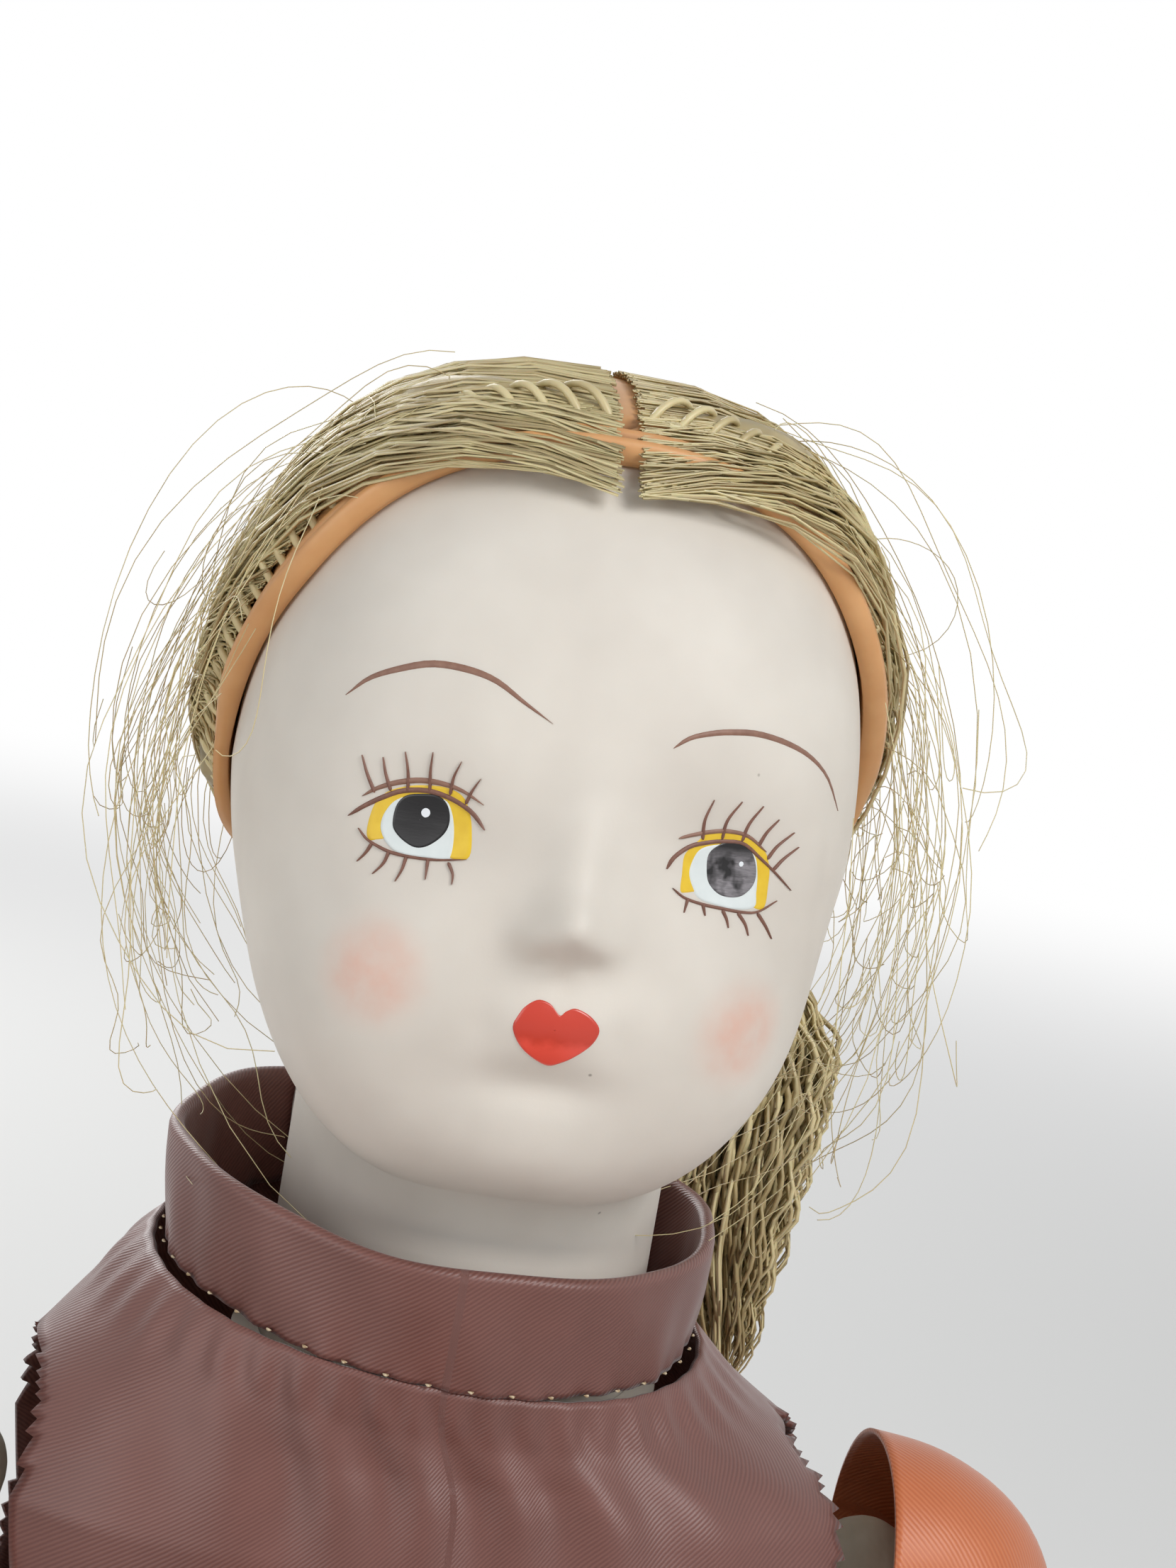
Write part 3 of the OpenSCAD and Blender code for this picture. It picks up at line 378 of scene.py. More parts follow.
def strokes(name, lines, paint, lift=0.15):
    """Brush strokes; each is its points and its width in mm at the start, middle and end."""
    points, faces = [], []
    for path, widths in lines:
        steps = 26
        line = through(path, steps)
        t = np.linspace(0, 1, steps)
        along = np.gradient(line, axis=0)
        side = np.stack([-along[:, 1], along[:, 0]], -1) / np.linalg.norm(along, axis=1)[:, None]
        start, middle, end = widths
        half = (start * (1 - t) * (1 - 2 * t) + 4 * middle * t * (1 - t) + end * t * (2 * t - 1)) / 2
        half = np.maximum(half, 0.025) * np.clip(np.minimum(t, 1 - t) * 14 + 0.2, 0, 1)
        flat = line[:, None] + np.array([-1, -0.6, 0.6, 1])[None, :, None] * (half[:, None] * side)[:, None]
        lifts = np.array([-0.02, lift, lift, -0.02])[None, :] + 0 * flat[..., 0]
        faces.append(grid_faces(steps, 4, around=False) + sum(len(p) for p in points))
        points.append(face_point(flat, lifts).reshape(-1, 3))
    return make_piece(name, np.concatenate(points), np.concatenate(faces), paint, "head")


def enamel(name, dark, light, roughness, coat=0.0, grain_mm=1.2):
    """Brushed enamel: even colour with faint streaks, a soft gloss and slightly raised brush marks."""
    made, tree = new_material(name)
    place = node(tree, "TexCoord").outputs["Object"]
    streaks = node(tree, "TexNoise", {"Vector": place, "Scale": 1000 / grain_mm, "Detail": 3.0})
    colour = node(tree, "Mix", {0: streaks.outputs[0], 6: linear(dark), 7: linear(light)}, data_type="RGBA")
    bump = node(tree, "Bump", {"Height": streaks.outputs[0], "Strength": 0.15, "Distance": 0.0001})
    surface = node(tree, "BsdfPrincipled", {"Base Color": colour.outputs[2], "Roughness": roughness,
                                            "Coat Weight": coat, "Normal": bump.outputs[0]})
    node(tree, "OutputMaterial", {"Surface": surface.outputs[0]})
    return made


yellow = enamel("yellow_enamel", "#DDB11C", "#F2CF3A", 0.4)
eye_white = enamel("blue_white_enamel", "#D6DEDD", "#E6ECEA", 0.4)
# white for the dots on the pupils: painted highlights standing for the lamp's glint
painted_catch_light = enamel("white_painted_highlight", "#E8EEF2", "#F2F4F6", 0.3)
brown_line = enamel("thin_brown_enamel", "#5E3A2C", "#8A6050", 0.5, grain_mm=0.5)
brow_tan = enamel("tan_brown_enamel", "#75503F", "#9A7462", 0.5, grain_mm=0.7)
dab("eye_ground_right", [(-17.0, -1.3), (-16.8, 0.6), (-16.1, 1.9), (-14.9, 2.7), (-13.3, 3.2), (-11.5, 3.4),
                         (-10.1, 3.0), (-9.3, 1.9), (-8.8, 0.2), (-8.7, -1.9), (-10.0, -2.3), (-12.0, -1.5),
                         (-14.5, -1.5), (-16.0, -1.9), (-16.7, -2.1)], 0.04, yellow)
dab("eye_white_right", [(-16.0, -0.7), (-15.8, 0.5), (-15.0, 1.7), (-13.2, 2.5), (-11.3, 2.4), (-10.5, 1.3),
                        (-10.1, -0.4), (-10.1, -2.0), (-10.5, -2.5), (-11.9, -2.6), (-13.5, -2.7), (-14.7, -2.5),
                        (-15.6, -1.7)], 0.075, eye_white)
dab("eye_ground_left", [(8.6, -0.7), (8.5, 0.5), (8.7, 1.2), (9.7, 2.4), (10.3, 2.9), (12.0, 3.2), (13.9, 3.0),
                        (15.6, 2.0), (16.4, 0.6), (16.6, -0.9), (16.6, -2.8), (15.7, -3.0), (14.0, -2.0),
                        (11.0, -1.9), (9.3, -2.2), (8.7, -2.1)], 0.04, yellow)
dab("eye_white_left", [(9.2, -0.6), (9.3, 0.5), (9.8, 1.5), (11.0, 2.0), (13.1, 2.3), (14.8, 1.5), (15.4, 0.0),
                       (15.6, -1.7), (15.6, -2.9), (13.9, -3.2), (12.1, -3.0), (10.5, -2.6), (9.7, -1.7)],
    0.075, eye_white)

# Black gloss enamel; the left pupil's gloss is scuffed to grey by fine slanting scratches
pupil_black, tree = new_material("black_gloss_enamel")
place = node(tree, "TexCoord").outputs["Object"]
slanted = node(tree, "Mapping", {"Vector": place, "Rotation": (0, math.radians(-38), 0),
                                 "Scale": (700, 1000, 5200)})
scratch = node(tree, "TexNoise", {"Vector": slanted.outputs[0], "Scale": 1.0, "Detail": 3.0, "Roughness": 0.7})
patches = node(tree, "TexNoise", {"Vector": place, "Scale": 700.0, "Detail": 2.0})
where = node(tree, "SeparateXYZ", {0: place})
left_only = node(tree, "Math", {0: where.outputs[0], 1: 0.0}, operation="GREATER_THAN")
low_part = node(tree, "MapRange", {"Value": where.outputs[2], "From Min": 0.1499, "From Max": 0.1487})
worn = node(tree, "MapRange", {"Value": patches.outputs[0], "From Min": 0.38, "From Max": 0.58})
worn = node(tree, "Math", {0: worn.outputs[0], 1: scratch.outputs[0]}, operation="MULTIPLY")
worn = node(tree, "Math", {0: worn.outputs[0], 1: left_only.outputs[0]}, operation="MULTIPLY")
worn = node(tree, "Math", {0: worn.outputs[0], 1: low_part.outputs[0]}, operation="MULTIPLY")
colour = node(tree, "Mix", {0: worn.outputs[0], 6: linear("#0E0B0E"), 7: linear("#A9A4A8")}, data_type="RGBA")
rough = node(tree, "MapRange", {"Value": worn.outputs[0], "To Min": 0.28, "To Max": 0.6})
bump = node(tree, "Bump", {"Height": scratch.outputs[0], "Strength": 0.25, "Distance": 0.00004})
surface = node(tree, "BsdfPrincipled", {"Base Color": colour.outputs[2], "Roughness": rough.outputs[0],
                                        "Normal": bump.outputs[0]})
node(tree, "OutputMaterial", {"Surface": surface.outputs[0]})
dab("pupil_right", [(-15.1, -0.2), (-15.0, 1.2), (-14.4, 2.1), (-13.2, 2.5), (-11.9, 2.6), (-11.0, 2.0),
                    (-10.6, 0.7), (-10.9, -0.5), (-11.9, -1.6), (-12.9, -2.0), (-13.9, -1.7), (-14.8, -1.0)],
    0.11, pupil_black)
dab("pupil_left", [(10.7, -0.2), (10.6, 1.1), (11.2, 1.9), (12.4, 2.5), (13.6, 2.4), (14.6, 1.6), (15.2, 0.3),
                   (15.2, -1.0), (14.4, -2.0), (13.3, -2.3), (12.1, -2.1), (11.1, -1.3)], 0.11, pupil_black)
# a white dot on each pupil, up and to the right: a painted highlight where the lamp's glint shows
for side, x, z in (("right", -12.6, 1.0), ("left", 13.7, 0.6)):
    size = 0.36 if side == "right" else 0.2
    dab("pupil_painted_highlight_" + side, [(x + size * c, z + 1.1 * size * s) for c, s in
                              ((1, 0), (0.7, 0.7), (0, 1), (-0.7, 0.7), (-1, 0), (-0.7, -0.7), (0, -1), (0.7, -0.7))],
        0.15, painted_catch_light)

strokes("lid_lines_right", [
    ([(-18.5, -0.5), (-17.5, 0.5), (-16.2, 1.5), (-14.7, 2.4), (-12.7, 2.8), (-10.8, 2.5), (-9.1, 1.7), (-7.9, 0.5)],
     (0.25, 0.5, 0.3)),
    ([(-17.6, -1.3), (-16.9, -2.0), (-16.0, -2.4), (-14.8, -2.7), (-13.2, -2.75), (-11.3, -2.6), (-8.9, -2.1)],
     (0.12, 0.3, 0.12))], brown_line)
strokes("lid_lines_left", [
    ([(7.2, -0.4), (7.7, 0.6), (8.9, 1.6), (10.4, 2.1), (11.9, 2.35), (13.6, 2.3), (15.4, 1.2), (17.0, 0.1),
      (18.8, -1.3)], (0.35, 0.4, 0.12)),
    ([(8.0, -1.9), (9.2, -2.6), (10.9, -3.0), (12.7, -3.2), (14.6, -3.35), (16.0, -3.2), (17.6, -2.2)],
     (0.15, 0.28, 0.1))], brown_line)
strokes("lid_folds", [
    ([(-17.7, 1.3), (-16.8, 2.1), (-15.4, 2.9), (-13.6, 3.5), (-11.8, 3.6), (-10.1, 3.3), (-8.3, 2.5)],
     (0.12, 0.5, 0.1)),
    ([(7.8, 2.2), (9.0, 2.6), (10.5, 3.0), (12.1, 3.2), (13.9, 2.95), (15.8, 1.8)], (0.25, 0.4, 0.2))],
    brow_tan, lift=0.12)
lash_width = (0.32, 0.22, 0.05)


def lash_lines(lashes):
    """Curved lashes from their roots, their tips and how far each bows sideways."""
    return [([root, ((root[0] + tip[0]) / 2 + bow, (root[1] + tip[1]) / 2), tip], lash_width)
            for root, tip, bow in lashes]


strokes("lashes_right", lash_lines((
    ((-16.8, 1.8), (-18.2, 4.6), -0.1), ((-15.6, 2.2), (-16.6, 4.8), -0.1), ((-14.3, 2.5), (-15.0, 5.6), 0.1),
    ((-12.6, 2.8), (-12.9, 6.0), -0.1), ((-11.0, 2.8), (-10.6, 5.7), -0.2), ((-9.7, 2.3), (-8.9, 4.6), -0.1),
    ((-16.4, -2.3), (-17.3, -4.0), 0.1), ((-15.0, -2.7), (-16.0, -4.7), 0.2), ((-13.6, -2.8), (-14.2, -4.9), 0.1),
    ((-11.9, -2.7), (-11.9, -4.3), 0), ((-10.3, -2.6), (-9.8, -4.3), 0.2))), brown_line, lift=0.17)
strokes("lashes_left", lash_lines((
    ((9.9, 2.3), (10.2, 5.7), -0.3), ((11.6, 2.5), (12.7, 5.8), -0.4), ((13.4, 2.5), (14.7, 5.6), -0.3),
    ((15.0, 2.3), (16.4, 4.6), -0.2), ((16.0, 1.2), (18.1, 3.6), -0.3), ((16.7, 0.3), (18.8, 2.4), -0.2),
    ((9.5, -2.6), (9.3, -3.8), 0), ((10.9, -3.0), (11.2, -3.9), 0), ((12.7, -3.3), (13.4, -4.7), 0.1),
    ((14.1, -3.4), (15.3, -5.2), 0.2), ((15.9, -3.3), (17.6, -5.4), 0.1))), brown_line, lift=0.17)
strokes("brows", [
    ([(-20.1, 9.0), (-18.6, 10.7), (-16.6, 11.9), (-14.0, 12.9), (-11.3, 13.0), (-8.9, 12.5), (-6.5, 11.2), (-4.0, 9.9)],
     (0.1, 0.62, 0.06)),
    ([(6.0, 9.4), (7.3, 10.4), (9.1, 11.0), (10.9, 11.3), (13.2, 11.4), (16.0, 10.9), (18.6, 9.9), (20.8, 8.2),
      (22.6, 5.4)], (0.25, 0.55, 0.06))], brow_tan, lift=0.07)

# Vermilion enamel, glossy, deeper on the upper lip and paler and pinker on the lower lip
lip_red, tree = new_material("vermilion_enamel")
place = node(tree, "TexCoord").outputs["Object"]
height = node(tree, "SeparateXYZ", {0: place}).outputs[2]
ragged = node(tree, "TexNoise", {"Vector": place, "Scale": 900.0, "Detail": 3.0})
offset = node(tree, "Math", {0: ragged.outputs[0], 1: 0.0012, 2: height}, operation="MULTIPLY_ADD")
# below a ragged line across the lips the colour turns paler and pinker
lower_lip_share = node(tree, "MapRange", {"Value": offset.outputs[0], "From Min": 0.1336, "From Max": 0.1322},
              interpolation_type="SMOOTHSTEP")
colour = node(tree, "Mix", {0: lower_lip_share.outputs[0], 6: linear("#C9341B"), 7: linear("#EC5140")}, data_type="RGBA")
bump = node(tree, "Bump", {"Height": ragged.outputs[0], "Strength": 0.25, "Distance": 0.0001})
surface = node(tree, "BsdfPrincipled", {"Base Color": colour.outputs[2], "Roughness": 0.32, "Coat Weight": 0.4,
                                        "Coat Roughness": 0.2, "Normal": bump.outputs[0]})
node(tree, "OutputMaterial", {"Surface": surface.outputs[0]})
dab("lips", [(-3.3, -14.7), (-3.0, -13.6), (-2.5, -12.8), (-1.6, -12.2), (-0.6, -12.4), (0.3, -13.2), (0.8, -12.8),
             (1.6, -12.5), (2.9, -13.0), (3.8, -14.0), (3.5, -15.2), (2.4, -16.4), (1.2, -17.3), (0.1, -17.7),
             (-1.6, -16.9), (-2.7, -15.9)], 0.09, lip_red)

# ---- Wig cap --------------------------------------------------------------------------
# Soft tan vinyl, moulded as one thin shell and glued to the open crown. A double bead runs round the face,
# and behind it is a row of punched holes about 4 mm apart, with a plug of hair at each and one between.

cap_axis = np.array([0, 0.768, 0.64])
cap_axis /= np.linalg.norm(cap_axis)
cap_side = np.array([1.0, 0, 0])
cap_up = np.cross(cap_axis, cap_side)
cap_t, cap_fit, cap_reach, holes_round = 1.3, 0.35, 49, 44


def cap_direction(tilt, around_axis):
    a, b = np.radians(around_axis), np.radians(tilt)
    return (np.cos(b)[..., None] * cap_axis + np.sin(b)[..., None]
            * (np.cos(a)[..., None] * cap_up + np.sin(a)[..., None] * cap_side))


def cap_edge(around_axis):
    """Polar angle of the cap's edge: 180 is over the forehead, 0 at the nape."""
    c = np.cos(np.radians(around_axis))
    return 85.5 - 13 * smooth(c, 0.2, 1) - 5 * smooth(-c, 0.6, 1)


def cap_row(mm, around_axis):
    """Directions of a row of the cap, so many mm behind its edge."""
    return cap_direction(cap_edge(around_axis) * (1 - mm / cap_reach), around_axis)


def over_cap(d, lift):
    return head_middle + (skull(d) + lift)[..., None] * d


cap_columns = 216
cap_turn = 360 * np.arange(cap_columns) / cap_columns
from_edge = np.array([0, 0.15, 0.45, 0.8, 1.15, 1.4, 1.6, 1.8, 2.05, 2.35, 2.65, 2.9, 3.2, 3.6, 4.0, 4.4, 4.8, 5.4, 6.5,
                      9, 13, 18, 24, 30, 36, 42])
face_side = smooth(-np.cos(np.radians(cap_turn)), -0.1, 0.3)
outer_cap, groove = [], []
for s in from_edge[::-1]:
    bead = 0.95 * math.exp(-((s - 0.75) / 0.55) ** 2) + 0.6 * math.exp(-((s - 2.3) / 0.4) ** 2)
    holes = np.exp(-((s - 4.0) / 0.45) ** 2) * np.clip(np.cos(np.radians(cap_turn) * holes_round), 0, 1) ** 2
    outer_cap.append(over_cap(cap_row(s, cap_turn), cap_t + cap_fit + face_side * bead - 0.7 * holes
                              - 0.7 * (s == 0)))
    # painted shade: this mark is 1 in the two grooves beside the bead and in the punched holes, to darken them
    groove.append(np.clip(holes + face_side * (0.8 * math.exp(-((s - 1.6) / 0.3) ** 2)
                                               + 0.6 * math.exp(-((s - 3.1) / 0.3) ** 2)), 0, 1))
inner_cap = [over_cap(cap_row(s, cap_turn), cap_fit + 0 * cap_turn) for s in (0.3, 6, 18, 30, 42)]
groove += [0 * cap_turn] * len(inner_cap)
vinyl, tree = new_material("soft_moulded_vinyl")
place = node(tree, "TexCoord").outputs["Object"]
mottle = node(tree, "TexNoise", {"Vector": place, "Scale": 260.0, "Detail": 4.0})
# painted shade in the grooves and holes: the groove mark mixes the vinyl toward dark brown
painted_groove_shade = node(tree, "Attribute", attribute_name="groove")
colour = node(tree, "Mix", {0: mottle.outputs[0], 6: linear("#CB9058"), 7: linear("#DDAA74")}, data_type="RGBA")
colour = node(tree, "Mix", {0: painted_groove_shade.outputs["Fac"], 6: colour.outputs[2], 7: linear("#7A4A22")}, data_type="RGBA")
bump = node(tree, "Bump", {"Height": mottle.outputs[0], "Strength": 0.2, "Distance": 0.0002})
surface = node(tree, "BsdfPrincipled", {"Base Color": colour.outputs[2], "Roughness": 0.42, "Subsurface Weight": 0.1,
                                        "Subsurface Scale": 0.001, "Normal": bump.outputs[0]})
node(tree, "OutputMaterial", {"Surface": surface.outputs[0]})
cap = make_piece("vinyl_wig_cap", outer_cap + inner_cap, grid_faces(len(groove), cap_columns, True, True), vinyl,
                 "head", marks={"groove": np.array(groove)})
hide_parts("wig_cap")

# ---- Rooted hair ----------------------------------------------------------------------
# Straight ash-blond nylon, rooted in the cap, parted in the middle and combed round the sides to the tie.
# Each lock is a fine tapered tube; the strands under them are one combed layer.

tie_at = np.array([25.8, 19.0, 135.4])
dice = np.random.default_rng(7)


def hair_material(name, shade_mm):
    """Nylon fibre: streaked blond, with a sharp sheen along each strand."""
    made, tree = new_material(name)
    tone = node(tree, "Attribute", attribute_name="tone")
    place = node(tree, "TexCoord").outputs["Object"]
    drift = node(tree, "TexNoise", {"Vector": place, "Scale": 1000 / shade_mm, "Detail": 2.0})
    mixed = node(tree, "Math", {0: drift.outputs[0], 1: 0.5, 2: tone.outputs["Fac"]}, operation="MULTIPLY_ADD")
    ramp = node(tree, "ValToRGB", {"Fac": mixed.outputs[0]})
    ramp.color_ramp.elements[0].position = 0.15
    ramp.color_ramp.elements[0].color = linear("#6A5C36")
    ramp.color_ramp.elements[1].position = 1.15
    ramp.color_ramp.elements[1].color = linear("#DACB9C")
    middle = ramp.color_ramp.elements.new(0.65)
    middle.color = linear("#B3A174")
    surface = node(tree, "BsdfPrincipled", {"Base Color": ramp.outputs[0], "Roughness": 0.38,
                                            "Subsurface Weight": 0.1, "Subsurface Scale": 0.0005})
    node(tree, "OutputMaterial", {"Surface": surface.outputs[0]})
    return made


nylon = hair_material("ash_blond_nylon_fibre", 6.0)


def tubes(name, paths, radii, tones, sides=3):
    """Strands as thin tubes: paths (n, steps, 3) in mm, radii (n, steps), one tone each."""
    n, steps = paths.shape[:2]
    along = np.gradient(paths, axis=1)
    along /= np.linalg.norm(along, axis=2)[..., None] + 1e-9
    side = np.cross(along, np.array([0.31, 0.47, 0.83]))
    side /= np.linalg.norm(side, axis=2)[..., None] + 1e-9
    other = np.cross(along, side)
    a = 2 * np.pi * np.arange(sides) / sides
    ring = (np.cos(a)[None, None, :, None] * side[:, :, None] + np.sin(a)[None, None, :, None] * other[:, :, None])
    points = paths[:, :, None] + radii[:, :, None, None] * ring
    one = grid_faces(steps, sides)
    faces = (one[None] + (np.arange(n) * steps * sides)[:, None, None]).reshape(-1, 4)
    tone = np.repeat(tones, steps * sides)
    return make_piece(name, points, faces, nylon, "head", marks={"tone": tone})


def on_sphere(controls, t):
    """A smooth walk over directions, led by four control directions: controls (4, n, 3), t (steps)."""
    t = t[None, :, None]
    a, b, c, d = (controls[k][:, None] for k in range(4))
    p = (1 - t) ** 3 * a + 3 * t * (1 - t) ** 2 * b + 3 * t * t * (1 - t) * c + t ** 3 * d
    return p / np.linalg.norm(p, axis=2)[..., None]


tie_direction = (tie_at - head_middle) / np.linalg.norm(tie_at - head_middle)
shell_lift = cap_t + cap_fit + 0.55
for side_name, side in (("left", 1), ("right", -1)):
    # the combed layer under the locks
    count, steps = 150, 26
    start_turn = 180 - side * np.linspace(1.0, 118, count)
    start = cap_row(4.6, start_turn)
    share = np.linspace(0, 1, count)
    ear = np.stack([side * (0.75 + 0.2 * share), 0.05 + 0.25 * share, 0.62 - 0.62 * share], -1)
    nape = np.stack([0.55 * side + 0 * share, 0.75 + 0 * share, 0.12 - 0.5 * share], -1)
    end = np.stack([0.06 * side + 0 * share, 0.9 + 0 * share, 0.45 - 0.95 * share], -1)
    t = np.linspace(0, 1, steps)
    walk = on_sphere(np.stack([start, ear, nape, end]), t)
    swell = smooth(t, 0.0, 0.2)[None] * (1.5 + 0.25 * np.sin(29 * share)[:, None] + 0.15 * np.sin(61 * share)[:, None])
    layer = over_cap(walk, shell_lift + swell)
    tone = 0.25 + 0.25 * np.sin(23 * share)[:, None] * np.sin(41 * share)[:, None] + 0 * t[None]
    combed = make_piece("combed_hair_" + side_name, layer, grid_faces(count, steps, around=False), nylon, "head",
                        marks={"tone": tone})
    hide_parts("hair_" + side_name)

    # locks from the front row of holes and from the parting
    count = 1500
    share = dice.random(count)
    from_parting = dice.random(count) < 0.45
    row = 180 - side * (1.5 + 116 * share)
    root = cap_row(4.2 + 1.2 * dice.random(count), row)
    lat = np.radians(52 + 88 * dice.random(count))
    parting = np.stack([side * (0.015 + 0.02 * dice.random(count)), -np.cos(lat), np.sin(lat)], -1)
    root = np.where(from_parting[:, None], parting, root)
    root /= np.linalg.norm(root, axis=1)[:, None]
    back = np.where(from_parting, 0.25 + 0.75 * smooth(lat, 0.9, 2.4), 0.55 * share)
    ear = np.stack([side * (0.9 + 0.1 * back), -0.25 + 0.75 * back, 0.72 - 0.45 * share], -1)
    ear += 0.05 * dice.normal(size=(count, 3))
    nape = np.stack([side * 0.8 + 0 * share, 0.6 + 0.2 * back, 0.05 - 0.4 * dice.random(count)], -1)
    nape += 0.06 * dice.normal(size=(count, 3))
    end = np.stack([0.15 * side + 0.45 + 0 * share, 0.85 + 0 * share, -0.35 + 0 * share], -1)
    end += 0.1 * dice.normal(size=(count, 3))
    t = np.linspace(0, 1, 18)
    walk = on_sphere(np.stack([root, ear, nape, end]), t)
    high = (0.3 + 1.9 * dice.random(count))[:, None] * smooth(t, -0.05, 0.25)[None]
    high = high + 0.15 * np.sin(9 * t[None] + 6 * dice.random(count)[:, None])
    paths = over_cap(walk, shell_lift - 0.2 + high + 0.6 * smooth(t, 0.0, 0.3)[None])
    radii = (0.13 + 0.14 * dice.random(count))[:, None] * (0.55 + 0.45 * np.sin(np.pi * np.clip(t, 0.05, 0.95)))[None]
    tubes("hair_locks_" + side_name, paths, radii, 0.25 + 0.6 * dice.random(count))

# plugs: short stiff bundles that lean out of the front row of holes
plugs = 66
row = 180 + (np.arange(plugs) - plugs / 2 + 0.5) * 180 / holes_round
root = cap_row(4.0, row)
lean = np.sign(180 - row)
lead = np.stack([0.25 * lean, 0.10 + 0 * row, 0.35 + 0 * row], -1)
t = np.linspace(0, 1, 9)
walk = root[:, None] + t[None, :, None] ** 1.4 * 0.5 * lead[:, None]
walk /= np.linalg.norm(walk, axis=2)[..., None]
paths = over_cap(walk, cap_t + cap_fit - 0.9 + 2.6 * np.sin(np.pi * 0.75 * t)[None] + 0 * row[:, None])
tubes("hair_plugs", paths, (0.42 - 0.12 * t)[None] + 0 * row[:, None], 0.55 + 0.35 * dice.random(plugs), sides=6)

# fly-away strands: single fibres that have worked loose and curl round the head
count, t = 150, np.linspace(0, 1, 22)
side = np.where(dice.random(count) < 0.42, -1, 1)
root = np.stack([side * (0.25 + 0.7 * dice.random(count)), -0.3 + 0.8 * dice.random(count),
                 0.9 - 0.9 * dice.random(count)], -1)
lead = root + np.stack([side * (0.1 + 0.5 * dice.random(count)), 0.3 * dice.normal(size=count),
                        0.25 * dice.normal(size=count)], -1)
fall = lead + np.stack([side * 0.25 * dice.random(count), 0.35 * dice.random(count),
                        -0.8 - 0.6 * dice.random(count)], -1)
end = fall + 0.45 * dice.normal(size=(count, 3))
walk = on_sphere(np.stack([root, lead, fall, end]), t)
loose = (1 + 10 * dice.random(count)[:, None]) * np.sin(np.pi * 0.62 * t)[None]
loose = loose + 0.9 * np.sin((3 + 6 * dice.random(count))[:, None] * t[None] * 2 + 6 * dice.random(count)[:, None])
paths = over_cap(walk, shell_lift + 1.5 + loose)
tubes("loose_strands", paths, 0.05 + 0 * paths[..., 0], 0.5 + 0.5 * dice.random(count))

# ---- Tail of hair and its elastic -----------------------------------------------------
# The ends are gathered by a covered elastic behind the left ear; below it the nylon keeps its factory crimp.

tail_length, tail_r, tie_r, tie_share = 46, 8.6, 5.0, 0.06
count, t = 420, np.linspace(0, 1, 34)
angle, spread = 2 * np.pi * dice.random(count), np.sqrt(dice.random(count))
length = tail_length * (0.7 + 0.32 * dice.random(count))
centre = tie_at + np.stack([5 * smooth(t, 0, 0.5) + 1.2 * np.sin(np.radians(430 * t)),
                            1.2 * np.sin(np.radians(180 * t)), 0 * t], -1)
width = 4.1 + (tail_r - 4.1) * smooth(t, 0, 0.3) - (tail_r - 3) * smooth(t, 0.6, 1.05)
crimp = 0.75 * np.sin((2 * np.pi * 5.5 * t)[None] + 2.6 * angle[:, None] + dice.normal(size=count)[:, None])
reach = spread[:, None] * width[None] + crimp * smooth(t, 0.05, 0.2)[None]
paths = centre[None] + np.stack([reach * np.cos(angle)[:, None], 0.8 * reach * np.sin(angle)[:, None],
                                 -length[:, None] * t[None]], -1)
tail = tubes("crimped_tail", paths, (0.3 * (1 - 0.6 * t ** 3))[None] * (0.7 + 0.6 * dice.random(count))[:, None],
             0.1 + 0.75 * dice.random(count))
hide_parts("ponytail")
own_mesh(tail)

elastic, tree = new_material("covered_elastic")
place = node(tree, "TexCoord").outputs["Object"]
ribs = node(tree, "TexWave", {"Vector": place, "Scale": 420.0, "Distortion": 1.5})
colour = node(tree, "Mix", {0: ribs.outputs[1], 6: linear("#2A1D17"), 7: linear("#4A382C")}, data_type="RGBA")
bump = node(tree, "Bump", {"Height": ribs.outputs[1], "Strength": 0.5, "Distance": 0.0002})
surface = node(tree, "BsdfPrincipled", {"Base Color": colour.outputs[2], "Roughness": 0.75, "Normal": bump.outputs[0]})
node(tree, "OutputMaterial", {"Surface": surface.outputs[0]})
a = 2 * np.pi * np.arange(72) / 72
b = 2 * np.pi * np.arange(12) / 12
cord_r = 1.1 + 0.08 * np.sin(18 * a)[:, None]
ring_r = tie_r + 1.1 + cord_r * np.cos(b)[None]
tie_centre = tie_at + np.array([5 * float(smooth(tie_share, 0, 0.5)) + 1.2 * math.sin(math.radians(430 * tie_share)),
                                0.2, -tail_length * tie_share])
points = tie_centre + np.stack([ring_r * np.cos(a)[:, None], ring_r * np.sin(a)[:, None],
                                cord_r * np.sin(b)[None]], -1)
tie = make_piece("hair_elastic", points, grid_faces(72, 12, True, True), elastic, "head")
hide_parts("hair_tie")

# ---- Satin twill suit: tunic ----------------------------------------------------------
# Brown polyester satin twill, sewn into a loose top that opens down the back. The diagonal twill line is
# 0.35 mm wide; the satin face gives broad soft highlights on folds that run out from the collar.


